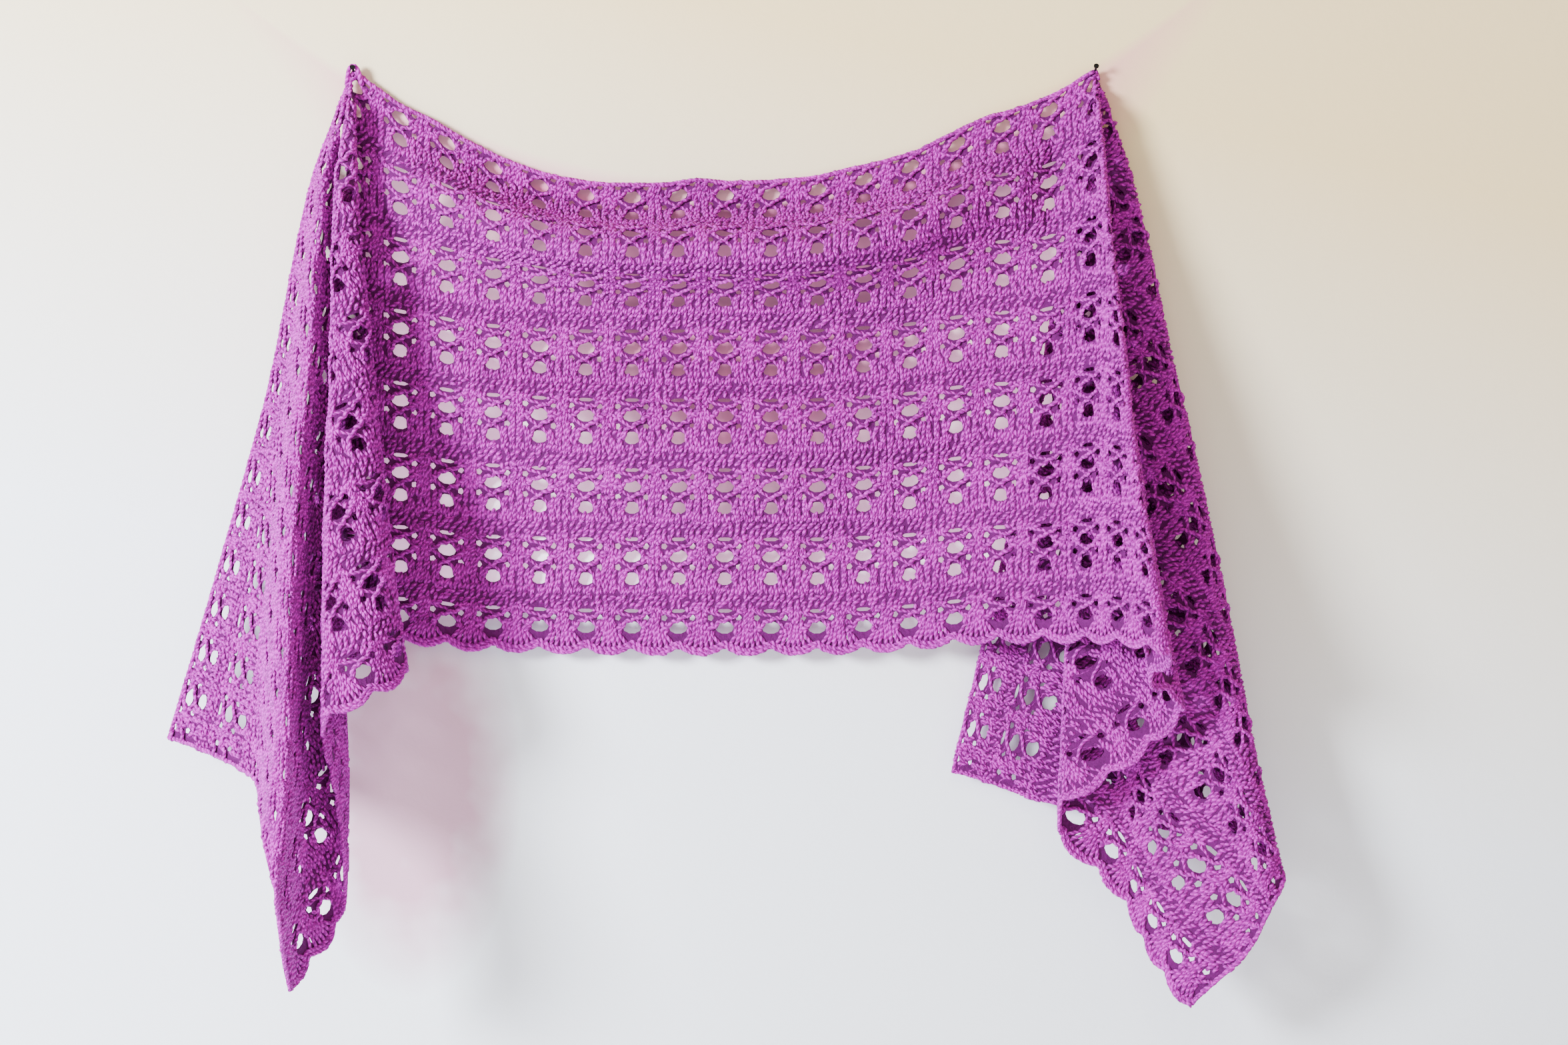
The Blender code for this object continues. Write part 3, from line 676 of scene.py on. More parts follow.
# Rings of a grain, and how far its ends lie inside the cloth
GRAIN_RINGS = 3
INSET = 0.25

# Tall stitches of a fan: sideways at head and foot, distances down of head and foot, levels, half width
FAN_UPPER = (2.6, 1.8, -38.8, -24.6, 3, 1.05)
FAN_LOWER = (1.9, 2.9, -24.4, -8.8, 3, 1.1)
ROUND_ROW_FEET = (-10.0, -3.4, 3.3, 10.1)
ROUND_ROW_HEADS = 0.95
ROUND_ROW = (-8.8, 5.6, 2, 1.25)

# The two legs of a tall stitch: overlap of its levels, shares of the half width that a leg leans and
# that it keeps at its inner side, how far the second leg is lower, how far both bow out
LEG_OVERLAP = 0.5
LEG_LEAN = 0.45
LEG_INNER = 0.8
LEG_LOWER = 0.8
LEG_BOWS = (0.5, 0.7)

# Grains of one stitch of the close band: sideways at both ends, down at both ends, how far it bows out
BAND_GRAINS = (
    (-1.7, -0.9, 11.4, 4.6, 0.6),
    (1.5, 1.1, 11.4, 4.6, 0.5),
    (-2.3, 1.5, 17.2, 11.2, 0.8),
    (-1.4, 2.3, 23.0, 16.8, 0.8),
)

# Plaits: steps of a grain, half its reach in steps, how far it leans to a side, its rise
PLAIT_STEPS = 12
PLAIT_REACH = 0.72
PLAIT_SIDES = (-0.9, 0.1, 1.1)
PLAIT_RISE = (0.0, 0.5, 0.0)


def arch_paths():
    """The four chain arches of a repeat: the two that lie on top over and under the diamond as plaits
    of grains, and the two that pass beneath as plain strands."""
    on_top = [plait(ARCH_OVER_DIAMOND, 8), plait(ARCH_UNDER_DIAMOND, 8)]
    beneath = [curve_through(ARCH_UNDER_SLIT, 7), curve_through(ARCH_OVER_ROUND, 7)]
    return on_top, beneath


def plait(points, count):
    """Grains along a curve that lean to its two sides in turn, as the loops of a chain do."""
    path = curve_through(points, count * PLAIT_STEPS + 1)
    half = int(PLAIT_STEPS * PLAIT_REACH)
    grains = []
    for number in range(count):
        middle = number * PLAIT_STEPS + PLAIT_STEPS // 2
        start, end = path[np.clip([middle - half, middle + half], 0, len(path) - 1)]
        forward = (end - start)[:2] / np.linalg.norm((end - start)[:2])
        sideways = np.array([-forward[1], forward[0]])
        side = 1.0 if number % 2 else -1.0
        grain = np.stack([start, path[middle], end])
        grain[:, :2] += sideways * np.array(PLAIT_SIDES)[:, None] * side
        grain[:, 2] += PLAIT_RISE
        grains.append(grain)
    return grains


def post(x0, x1, low, high, out):
    """Straight run from (x0, low) to (x1, high) that bows out of the cloth by out at its middle."""
    t = np.linspace(0.0, 1.0, GRAIN_RINGS)
    return np.stack([x0 + (x1 - x0) * t, low + (high - low) * t, out * np.sin(np.pi * t) - INSET], axis=-1)


def tall_stitch(x_head, x_foot, head, foot, levels, wide):
    """Tall stitch as short grains: two legs at each level, which lean one way and then the other."""
    grains = []
    inner = wide * LEG_INNER
    for level in range(levels):
        first = level / levels
        last = (level + 1) / levels
        x0 = x_head + (x_foot - x_head) * first
        x1 = x_head + (x_foot - x_head) * last
        y0 = head + (foot - head) * first - LEG_OVERLAP
        y1 = head + (foot - head) * last + LEG_OVERLAP
        lean = wide * (LEG_LEAN if level % 2 else -LEG_LEAN)
        grains.append(post(x0 - wide - lean, x1 - inner + lean, y0, y1, LEG_BOWS[0]))
        y0 += LEG_LOWER
        y1 += LEG_LOWER
        grains.append(post(x0 + inner - lean, x1 + wide + lean, y0, y1, LEG_BOWS[1]))
    return grains


def round_row_posts():
    """Four tall stitches between two round openings."""
    grains = []
    for x in ROUND_ROW_FEET:
        grains += tall_stitch(x * ROUND_ROW_HEADS, x, *ROUND_ROW)
    return grains


def fan_posts():
    """Tall stitches at the middle of a fan: a pair beside the slit and a pair beside the diamond."""
    grains = []
    for x_head, x_foot, *rest in (FAN_UPPER, FAN_LOWER):
        for side in (-1.0, 1.0):
            grains += tall_stitch(side * x_head, side * x_foot, *rest)
    return grains


def fan_leaves():
    """Short leaning stitches that fill a fan between its posts and its arches."""
    leaves = []
    for x_head, x_foot, head, foot in FAN_LEAVES:
        leaves.append(post(x_head, x_foot, head, foot, LEAF_BOW))
        leaves.append(post(LEAF_HEAD_OFF - x_head, -x_foot - LEAF_FOOT_OFF, head, foot, LEAF_BOW))
    return leaves


def band_paths():
    """Seven stitches of the close band in three rows: an upright V, then two slanted grains."""
    grains = []
    for number in range(STITCHES_PER_REPEAT):
        x = (number + 0.5) * SPINE / STITCHES_PER_REPEAT
        grains += [post(x + x0, x + x1, low, high, out) for x0, x1, low, high, out in BAND_GRAINS]
    return grains


def cells(first, last, rows):
    """Flat places of the cells of some columns of openings, from the spine on the left of each."""
    columns = range(first, last + 1)
    return [((c - 0.5) * REPEAT_LENGTH, FIRST_OPENING_DOWN + r * ROW_REPEAT) for c in columns for r in rows]


# Lace ground: a thin sheet with every opening of the lace, coloured as painted shade between the stitches


# Openings of one cell, in millimetres: centre, half width, reach up and down, corners
HOLES = (
    (HALF, -34.6, 6.8, 1.5, 1.9, 6),
    (HALF, -20.4, 7.8, 5.2, 5.4, 10),
    (HALF, -1.0, 6.6, 5.8, 5.0, 10),
    (7.6, -28.6, 2.7, 2.6, 2.8, 5),
    (7.6, -10.9, 2.6, 2.8, 2.8, 5),
    (SPINE - 7.6, -28.6, 2.7, 2.6, 2.8, 5),
    (SPINE - 7.6, -10.9, 2.6, 2.8, 2.8, 5),
)

# The mesh of a cell, in millimetres: its top and foot, its steps, and the room round its openings
CELL_TOP = -46.0
CELL_FOOT = 14.0
STEP_ACROSS = 4.8
STEP_DOWN = 5.0
EDGE_ROOM = 1.0
FOOT_ROOM = 2.0
HOLE_ROOM = 1.6
HOLE_NEAR = (8.0, 7.0)


def ground_holes(low, high):
    """Outlines of the openings of one cell that lie between two distances down, in millimetres."""
    holes = []
    for x, y, half_width, top, bottom, count in HOLES:
        turn = math.tau * np.arange(count) / count
        reach = np.where(np.sin(turn) > 0, bottom, top)
        holes.append(np.stack([x + half_width * np.cos(turn), y + reach * np.sin(turn)], axis=-1))
    return [h for h in holes if h[:, 1].min() > low + EDGE_ROOM and h[:, 1].max() < high - EDGE_ROOM]


def edge_drop(along):
    """Distance down to the lower edge, in metres: a lobe under each fan, a notch under each column."""
    wave = np.abs(np.sin(np.pi * along / REPEAT_LENGTH)) ** SCALLOP_POWER
    return CLOTH_WIDTH - SCALLOP_DEPTH / 2 + SCALLOP_DEPTH * wave


def ground_cell(low, high, left, right, scalloped):
    """Vertices and triangles of one cell of the ground between two distances down and two sides."""
    steps = max(4, round((right - left) / STEP_ACROSS))
    across = np.linspace(left, right, steps + 1)
    rows = np.linspace(low, high, round((high - low) / STEP_DOWN) + 1)
    foot = np.full_like(across, high)
    if scalloped:
        last_row = FIRST_OPENING_DOWN + OPENING_ROWS * ROW_REPEAT
        foot = (edge_drop(across * MM + REPEAT_LENGTH / 2) - last_row) * 1000
        rows = rows[rows < foot.min() - FOOT_ROOM]
    outline = [(a, low) for a in across]
    outline += [(right, r) for r in rows[1:] if r < high - HAIR]
    outline += [(a, b) for a, b in zip(across[::-1], foot[::-1])]
    outline += [(left, r) for r in rows[:0:-1] if r < high - HAIR]
    holes = ground_holes(low, high if not scalloped else foot.min())
    holes = [h for h in holes if h[:, 0].min() > left + EDGE_ROOM and h[:, 0].max() < right - EDGE_ROOM]
    points = []
    edges = []
    for loop in [outline] + holes:
        base = len(points)
        points += [tuple(p) for p in loop]
        edges += [(base + i, base + (i + 1) % len(loop)) for i in range(len(loop))]
    centres = np.array([hole.mean(axis=0) for hole in holes]).reshape(-1, 2)
    reaches = np.array([np.ptp(hole, axis=0) / 2 + HOLE_ROOM for hole in holes]).reshape(-1, 2)
    for a in across[1:-1]:
        for r in rows[1:-1]:
            away = np.abs(centres - (a, r)) / reaches
            if not (np.hypot(away[:, 0], away[:, 1]) < 1.0).any():
                points.append((a, r))
    made = delaunay_2d_cdt([Vector(p) for p in points], edges, [], 0, HAIR)
    vertices = np.array([(v.x, v.y) for v in made[0]])
    faces = []
    for face in made[2]:
        middle = vertices[list(face)].mean(axis=0)
        away = np.abs(centres - middle)
        near = [h for h, d in zip(holes, away) if (d < HOLE_NEAR).all()]
        if inside(middle, outline) and not any(inside(middle, hole) for hole in near):
            faces.append(list(face))
    return vertices, np.array(faces)


def inside(point, outline):
    """Whether a flat point lies inside an outline: it is if a ray from it crosses an odd number of sides."""
    x, y = point
    found = False
    for (ax, ay), (bx, by) in zip(outline, list(outline[1:]) + [outline[0]]):
        if (ay > y) != (by > y) and x < (bx - ax) * (y - ay) / (by - ay) + ax:
            found = not found
    return found


def ground(name, first, last, ends, look):
    """The lace ground of one stretch: the cell of each opening, copied, joined and draped."""
    flat = []
    faces = []
    count = 0
    columns = [(number, 0.0, SPINE) for number in range(first, last + 1)]
    columns += [(number, left, left + HALF) for number, left in ends]
    for row in range(OPENING_ROWS + 1):
        low = CELL_TOP if row else -FIRST_OPENING_DOWN * 1000
        made = {}
        for number, *sides in columns:
            kind = tuple(sides)
            if kind not in made:
                made[kind] = ground_cell(low, CELL_FOOT, *sides, row == OPENING_ROWS)
            cell, triangles = made[kind]
            place = ((number - 0.5) * REPEAT_LENGTH, FIRST_OPENING_DOWN + row * ROW_REPEAT)
            flat.append(cell * MM + place)
            faces.append(triangles + count)
            count += len(cell)
    flat = np.concatenate(flat)
    faces = np.concatenate(faces)
    _, first_of, index = np.unique(np.round(flat, 6), axis=0, return_index=True, return_inverse=True)
    flat = flat[first_of]
    faces = index.reshape(-1)[faces]
    points, _ = DRAPE.at(flat[:, 0], flat[:, 1])
    a, b, c = (flat[faces[:, k]] for k in range(3))
    turned = cross_2d(b - a, c - a) > 0
    faces[turned] = faces[turned][:, ::-1]
    made = add_piece(name, points, faces.ravel(), np.full(len(faces), 3), look, flat[faces.ravel()])
    made["flat_area"] = float(np.abs(cross_2d(b - a, c - a)).sum() / 2)
    return made


def cross_2d(first, second):
    """Twice the area between pairs of flat vectors, with its sign."""
    return first[:, 0] * second[:, 1] - first[:, 1] * second[:, 0]


# Materials

SHINE = 0.20
SHEEN_ROUGHNESS = 0.45


class Value:
    """A shader socket that plain Python arithmetic works on, through Math nodes."""

    def __init__(self, shader, socket):
        self.shader = shader
        self.socket = socket

    def maths(self, operation, *others):
        """Math node with this value first."""
        return self.shader.node("ShaderNodeMath", {"operation": operation}, self, *others)

    def __add__(self, other):
        return self.maths("ADD", other)

    def __sub__(self, other):
        return self.maths("SUBTRACT", other)

    def __rsub__(self, other):
        return self.shader.node("ShaderNodeMath", {"operation": "SUBTRACT"}, other, self)

    def __mul__(self, other):
        return self.maths("MULTIPLY", other)

    def least(self, other):
        """The smaller of two values."""
        return self.maths("MINIMUM", other)

    def most(self, other):
        """The larger of two values."""
        return self.maths("MAXIMUM", other)

    def sine(self):
        """Sine of this value in radians."""
        return self.maths("SINE")


class Shader:
    """One material's nodes."""

    def __init__(self, name):
        self.material = bpy.data.materials.new(name)
        self.material.use_nodes = True
        self.tree = self.material.node_tree
        self.surface = self.tree.nodes["Principled BSDF"]
        self.where = self.node("ShaderNodeTexCoord", {}, output=3)

    def put(self, socket, value):
        """Links a value to a socket, or sets the socket."""
        if isinstance(value, Value):
            self.tree.links.new(value.socket, socket)
        elif value is not None:
            socket.default_value = value

    def node(self, kind, settings, *values, output=0, **named):
        """Any node: its settings first, then its sockets in order or by name. Gives one output."""
        made = self.tree.nodes.new(kind)
        for key, value in settings.items():
            setattr(made, key, value)
        for socket, value in zip(made.inputs, values):
            self.put(socket, value)
        for key, value in named.items():
            self.put(made.inputs[key.replace("_", " ")], value)
        return Value(self, made.outputs[output])

    def noise(self, scale, detail=2.0):
        """Noise from 0 to 1 at the place that is shaded."""
        named = {"Vector": self.where, "Scale": scale, "Detail": detail, "Roughness": 0.6}
        return self.node("ShaderNodeTexNoise", {}, **named)

    def mix(self, share, first, second):
        """Blend of two colours."""
        settings = {"data_type": "RGBA", "clamp_factor": True}
        unused = (None,) * 5
        return self.node("ShaderNodeMix", settings, share, *unused, first, second, output=2)

    def axis(self, number, place=None):
        """One coordinate of a place, or else of the place that is shaded."""
        return self.node("ShaderNodeSeparateXYZ", {}, place or self.where, output=number)

    def finish(self, color, bump, distance, roughness, sheen=0.0, sheen_tint=None):
        """Joins the colour and the bump to the Principled shader."""
        self.put(self.surface.inputs["Base Color"], color)
        self.surface.inputs["Roughness"].default_value = roughness
        self.surface.inputs["Sheen Weight"].default_value = sheen
        self.surface.inputs["Sheen Roughness"].default_value = SHEEN_ROUGHNESS
        self.surface.inputs["Specular IOR Level"].default_value = SHINE
        if sheen_tint is not None:
            self.surface.inputs["Sheen Tint"].default_value = sheen_tint
        normal = self.node("ShaderNodeBump", {}, Strength=1.0, Distance=distance, Height=bump)
        self.put(self.surface.inputs["Normal"], normal)
        return self.material


def tinted(color, factor):
    """A colour made lighter or darker."""
    return tuple(min(1.0, c * factor) for c in color[:3]) + (1.0,)


def yarn_material(colors, sizes):
    """Plied yarn: slanted plies along each strand, with fine fibres and slow random changes of tone. The
    colour also carries painted highlight and shade along the plies.
    """
    shader = Shader("plied_yarn")
    places = shader.node("ShaderNodeUVMap", {"uv_map": "Yarn"})
    run = shader.axis(0, places)
    turn = shader.axis(1, places)
    ply = (run * (math.tau / sizes.ply_pitch) + turn * (math.tau * 2)).sine()
    fibres = shader.noise(scale=1500.0, detail=3.0)
    shade = shader.noise(scale=55.0)
    # The ply term paints highlight and shade along the plies, between a darker and a lighter copy of the
    # yarn colour; the fibres and the slow noise are random tone
    share = (ply * 0.38 + (fibres - 0.5) * 0.7) + shade * 0.9
    color = shader.mix(share, tinted(colors.yarn, 0.45), tinted(colors.yarn, 1.35))
    bump = ply * 0.6 + fibres * 0.5
    tint = tinted(colors.sheen, 1.0)
    return shader.finish(color, bump, distance=0.0010, roughness=0.62, sheen=0.14, sheen_tint=tint)


def ground_material(colors):
    """Sheet inside the stitches, darker than the yarn round it as painted shade in the gaps between them,
    with a coarse twisted relief.
    """
    shader = Shader("painted_shade_yarn")
    coarse = shader.noise(scale=330.0)
    shade = shader.noise(scale=55.0)
    # Painted shade: the yarn colour at 5 to 24 percent stands for the shade between the strands
    color = shader.mix(coarse * 0.8 + shade * 0.4, tinted(colors.yarn, 0.05), tinted(colors.yarn, 0.24))
    tint = tinted(colors.sheen, 1.0)
    return shader.finish(color, coarse, distance=0.0012, roughness=0.85, sheen=0.08, sheen_tint=tint)


def nail_material():
    """Dark oxidised steel with faint scratches."""
    shader = Shader("black_nail")
    wear = shader.noise(scale=2200.0, detail=3.0)
    color = shader.mix(wear, (0.010, 0.010, 0.012, 1.0), (0.045, 0.042, 0.040, 1.0))
    made = shader.finish(color, wear, distance=0.0001, roughness=0.38)
    shader.surface.inputs["Metallic"].default_value = 0.85
    return made


# Wall tints of painted light: a pink glow behind the cloth and the left tail's painted shadow. The cloth's
# top edge is a parabola with its middle, its curve and its height; the glow tint fades past each side, each
# level and the edge at its own rate, and the tail's shadow is an oval
EDGE_MIDDLE = 0.30
EDGE_CURVE = 0.95
EDGE_HEIGHT = -0.084
GLOW_LEFT = (0.08, 7.0)
GLOW_RIGHT = (0.56, 8.0)
GLOW_LOW = (-0.47, 6.0)
GLOW_NARROWS = (-0.2, 5.0)
GLOW_EDGE = 34.0
GLOW_SHARE = 0.95
LIGHT_RIGHT = 0.62
LIGHT_LOW = -0.46
LIGHT_SIDE = 30.0
LIGHT_EDGE = 18.0
LIGHT_LOST = 0.83
LIGHT = (0.90, 0.50, 0.78, 1.0)
BLACK = (0.0, 0.0, 0.0, 1.0)
SHADOW_CENTRE = (0.045, -0.59)
SHADOW_REACH = (0.095, 0.18)
SHADOW_COLOR = (0.66, 0.40, 0.50, 1.0)


def plaster_material(name, cool, warm):
    """Painted wall with faint plaster relief: cool at the left and low, warm at the right and high, which is
    painted cool window light and warm room light. Gives the shader and the paint."""
    shader = Shader(name)
    relief = shader.noise(scale=90.0, detail=4.0)
    # Painted light: the cool to warm blend stands for cool window light at the left and low and warm room
    # light at the right and high
    paint = shader.mix(shader.axis(0) * 0.45 + shader.axis(2) * 1.8 + 0.75, cool, warm)
    shader.finish(paint, relief, distance=0.0003, roughness=0.9)
    return shader, paint


def tint_wall(shader, paint, glow):
    """Tints the wall where light comes to it through the cloth, which also lights it, and in the left
    tail's shadow, and makes it clear from behind, so that the back of the shawl can be looked at."""
    x = shader.axis(0)
    up = shader.axis(2)
    from_middle = x - EDGE_MIDDLE
    below_edge = from_middle * from_middle * EDGE_CURVE + EDGE_HEIGHT - up
    sides = ((x - GLOW_LEFT[0]) * GLOW_LEFT[1]).least((GLOW_RIGHT[0] - x) * GLOW_RIGHT[1])
    sides = sides + (up - GLOW_NARROWS[0]) * GLOW_NARROWS[1]
    upper = (below_edge * GLOW_EDGE).least((up - GLOW_LOW[0]) * GLOW_LOW[1]).least(sides)
    behind_cloth = upper.least(1.0).most(0.0)
    off_x = (x - SHADOW_CENTRE[0]) * (1 / SHADOW_REACH[0])
    off_up = (up - SHADOW_CENTRE[1]) * (1 / SHADOW_REACH[1])
    dapple = shader.noise(scale=32.0, detail=1.0) * 1.3 + 0.70
    in_shadow = (1.0 - (off_x * off_x + off_up * off_up)) * dapple
    shaded = shader.mix(in_shadow, paint, SHADOW_COLOR)
    # Painted light: the pink glow behind the cloth, laid over the painted shadow of the left tail
    shader.put(shader.surface.inputs["Base Color"], shader.mix(behind_cloth * GLOW_SHARE, shaded, glow))
    between = (x * LIGHT_SIDE).least((LIGHT_RIGHT - x) * LIGHT_SIDE)
    between = between.least((up - LIGHT_LOW) * LIGHT_SIDE).least(below_edge * LIGHT_EDGE)
    through = between.least(1.0) * (1.0 - behind_cloth * LIGHT_LOST)
    shader.put(shader.surface.inputs["Emission Color"], shader.mix(through, BLACK, LIGHT))
    shader.surface.inputs["Emission Strength"].default_value = 1.0
    behind = shader.node("ShaderNodeNewGeometry", {}, output=6)
    clear = shader.node("ShaderNodeBsdfTransparent", {})
    painted = Value(shader, shader.surface.outputs[0])
    shown = shader.node("ShaderNodeMixShader", {}, behind, painted, clear)
    shader.put(shader.tree.nodes["Material Output"].inputs[0], shown)


# Sizes and colours that a user may change


def length(name, description, default):
    """Property of a length."""
    return FloatProperty(name=name, description=description, default=default, unit="LENGTH")


def color(name, description, default):
    """Property of a colour."""
    default = default + (1.0,)
    return FloatVectorProperty(
        name=name, description=description, subtype="COLOR", size=4, default=default, min=0.0, max=1.0
    )


class SHAWL_PG_sizes(bpy.types.PropertyGroup):
    """Sizes of the yarn and its stitches."""

    rope_radius: length("Arch radius", "Half the thickness of a chain arch", 0.00190)
    post_radius: length("Post radius", "Half the thickness of one leg of a post", 0.00185)
    band_radius: length("Band radius", "Half the thickness of one loop of the band", 0.00180)
    ply_pitch: length("Ply pitch", "Length in which the plies turn once", 0.0046)
    border_radius: length("Border radius", "Half the thickness of the border yarn", 0.00170)
    seed: IntProperty(name="Seed", description="Start of the small irregularities", default=7)


class SHAWL_PG_colors(bpy.types.PropertyGroup):
    """Colours of the yarn and of the wall, with the light painted on the wall."""

    yarn: color("Yarn", "Colour of the yarn", (0.56, 0.007, 0.49))
    sheen: color("Sheen", "Colour of the soft edge light on the fibres", (0.95, 0.28, 1.0))
    # Painted light: these two wall colours stand for cool window light and warm room light on the wall
    wall_cool: color("Wall, cool", "Wall colour at the left and low", (0.93, 0.95, 0.99))
    wall_warm: color("Wall, warm", "Wall colour at the right and high", (0.93, 0.72, 0.38))
    # Painted light: pink light that the cloth passes and casts on the wall behind it
    wall_glow: color("Wall, behind cloth", "Wall colour behind the cloth", (0.80, 0.17, 0.40))


def looks():
    """The two yarn materials, the second one darkened as painted shade, made once."""
    scene = bpy.context.scene
    outer = bpy.data.materials.get("plied_yarn") or yarn_material(scene.shawl_colors, scene.shawl_sizes)
    # inner is the ground material, darkened as painted shade
    inner = bpy.data.materials.get("painted_shade_yarn") or ground_material(scene.shawl_colors)
    return outer, inner


class SHAWL_OT_ground(bpy.types.Operator):
    """Lace ground: the thin sheet inside the stitches, with the openings of the lace, dark as painted shade
    between the stitches
    """

    bl_idname = "shawl.ground"
    bl_label = "Lace Ground"

    def execute(self, context):
        # inner is the ground material, darkened as painted shade
        _, inner = looks()
        for name, (first, last, _, _, ends, node) in STRETCHES.items():
            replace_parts(ground(name + "_lace", first, last, ends, inner), node)
        return {"FINISHED"}


class LaysYarn:
    """What the steps that lay yarn on every stretch have in common: one piece for each stretch."""

    def execute(self, context):
        sizes = context.scene.shawl_sizes
        outer, _ = looks()
        for name, (_, _, first, last, _, _) in STRETCHES.items():
            yarns = Yarns(sizes.seed + self.seed_step)
            self.lay(yarns, sizes, first, last)
            yarns.piece(name + self.kind, outer)
        return {"FINISHED"}


class SHAWL_OT_arches(LaysYarn, bpy.types.Operator):
    """Chain arches that cross over and under each diamond opening"""

    bl_idname = "shawl.arches"
    bl_label = "Chain Arches"
    kind = "_arches"
    seed_step = 0

    def lay(self, yarns, sizes, first, last):
        on_top, beneath = arch_paths()
        radius = sizes.rope_radius
        for rows, plaits, plain in zip((OPENING_ROWS + 1, OPENING_ROWS), on_top, beneath):
            places = cells(first, last, range(rows))
            yarns.add_copies(plaits, places, radius, radius * 0.9, TIGHT)
            yarns.add_copies([plain], places, radius * 0.8, radius * 0.8, TIGHT)


class SHAWL_OT_posts(LaysYarn, bpy.types.Operator):
    """Posts between the round openings and down the middle of each fan"""

    bl_idname = "shawl.posts"
    bl_label = "Posts and Fans"
    kind = "_posts"
    seed_step = 1

    def lay(self, yarns, sizes, first, last):
        spines = cells(first, last, range(OPENING_ROWS))
        more = cells(first, last, range(OPENING_ROWS + 1))
        radius = sizes.post_radius
        yarns.add_copies(round_row_posts(), spines, radius, radius)
        yarns.add_copies(fan_posts(), more, radius, radius)
        yarns.add_copies(fan_leaves(), more, radius * 1.1, radius)


class SHAWL_OT_bands(LaysYarn, bpy.types.Operator):
    """Close bands of stitches under each row of round openings"""

    bl_idname = "shawl.bands"
    bl_label = "Close Bands"
    kind = "_bands"
    seed_step = 2

    def lay(self, yarns, sizes, first, last):
        places = cells(first, last, range(OPENING_ROWS))
        radius = sizes.band_radius
        yarns.add_copies(band_paths(), places, radius, radius)


# Borders, in metres: a stitch's length as a share of the pitch, how far it bows and stands off, the
# rows of each edge as the way up from the edge and the lean, and the posts under each fan
STITCH_REACH = 1.5
END_REACH = 1.6
BOW = 0.0009
STANDS_OFF = 0.0002
TOP_ROWS = ((0.0014, 0.0022), (0.0014, -0.0022))
LOW_ROWS = ((0.0012, 0.0022), (0.0016, -0.0022), (0.0046, 0.0026))
END_LEANS = (0.0020, -0.0020)
END_PITCH = 0.0062
END_INSET = 0.0016
FAN_POSTS = 7
FAN_FOOT = 0.0165
FAN_HEAD = 0.0080
FAN_FOOT_UP = 0.0025
FAN_HEAD_UP = 0.0215
FAN_HEAD_BENDS = 0.0060
NAIL_LOOP = (
    (-0.0058, -0.0080, -0.0080),
    (-0.0048, -0.0090, -0.0010),
    (-0.0034, -0.0098, 0.0050),
    (0.0000, -0.0100, 0.0082),
    (0.0036, -0.0098, 0.0048),
    (0.0056, -0.0090, -0.0012),
    (0.0072, -0.0080, -0.0080),
)


def border_row(start, pitch, number, reach, lean):
    """Stitches of a border, each a short loop that leans over the next: how far along the edge, how far
    off it and how far out of the cloth their points are."""
    t = np.linspace(-0.5, 0.5, 4)
    centres = start + pitch * (np.arange(number) + 0.5)
    run = centres[:, None] + t[None, :] * pitch * reach
    return run, lean * t + 0 * run, BOW * np.cos(np.pi * t) + 0 * run


def long_edge(down, lean):
    """One row of stitches along a long edge, whose distance down is given."""
    pitch = REPEAT_LENGTH / STITCHES_PER_REPEAT
    number = STITCHES_PER_REPEAT * (REPEATS_BETWEEN_NAILS + 2 * TAIL_REPEATS)
    run, off, out = border_row(-TAIL_LENGTH, pitch, number, STITCH_REACH, lean)
    return np.stack([run, down(run) + off, out + STANDS_OFF], axis=-1)


class SHAWL_OT_borders(bpy.types.Operator):
    """Chain along the top edge, the scalloped lower edge and the two short ends"""

    bl_idname = "shawl.borders"
    bl_label = "Borders"

    def execute(self, context):
        sizes = context.scene.shawl_sizes
        outer, _ = looks()
        radius = sizes.border_radius
        yarns = Yarns(sizes.seed + 3)
        for offset, lean in TOP_ROWS:
            top = long_edge(lambda along: np.full_like(along, offset), lean)
            yarns.add(top, radius, radius, BORDER_SIDES)
        yarns.piece("top_border", outer)
        yarns = Yarns(sizes.seed + 4)
        for offset, lean in LOW_ROWS:
            low = long_edge(lambda along: edge_drop(along) - offset, lean)
            yarns.add(low, radius, radius, BORDER_SIDES)
        yarns.add(scallop_fans(), radius * 1.05, radius, GRAIN_SIDES)
        yarns.piece("scalloped_border", outer)
        yarns = Yarns(sizes.seed + 5)
        for place in (-TAIL_LENGTH, NAIL_SPACING + TAIL_LENGTH):
            yarns.add(short_end(place), radius, radius, BORDER_SIDES)
        yarns.add_solid([curve_through(NAIL_LOOP, 14)], radius * 1.1, 8)
        yarns.piece("end_borders", outer)
        return {"FINISHED"}


def scallop_fans():
    """Short posts under each fan, spread from the spine to the scalloped edge."""
    paths = []
    row = FIRST_OPENING_DOWN + OPENING_ROWS * ROW_REPEAT
    t = np.linspace(0.0, 1.0, 5)
    for number in range(-TAIL_REPEATS, LAST_REPEAT):
        spine = (number + 0.5) * REPEAT_LENGTH
        for share in np.linspace(-1.0, 1.0, FAN_POSTS):
            foot = spine + share * FAN_FOOT
            head = spine + share * FAN_HEAD
            low = float(edge_drop(np.array(foot))) - FAN_FOOT_UP
            high = row - FAN_HEAD_UP + FAN_HEAD_BENDS * abs(share)
            out = BOW * np.sin(np.pi * t)
            paths.append(np.stack([head + (foot - head) * t, high + (low - high) * t, out], axis=-1))
    return np.array(paths)


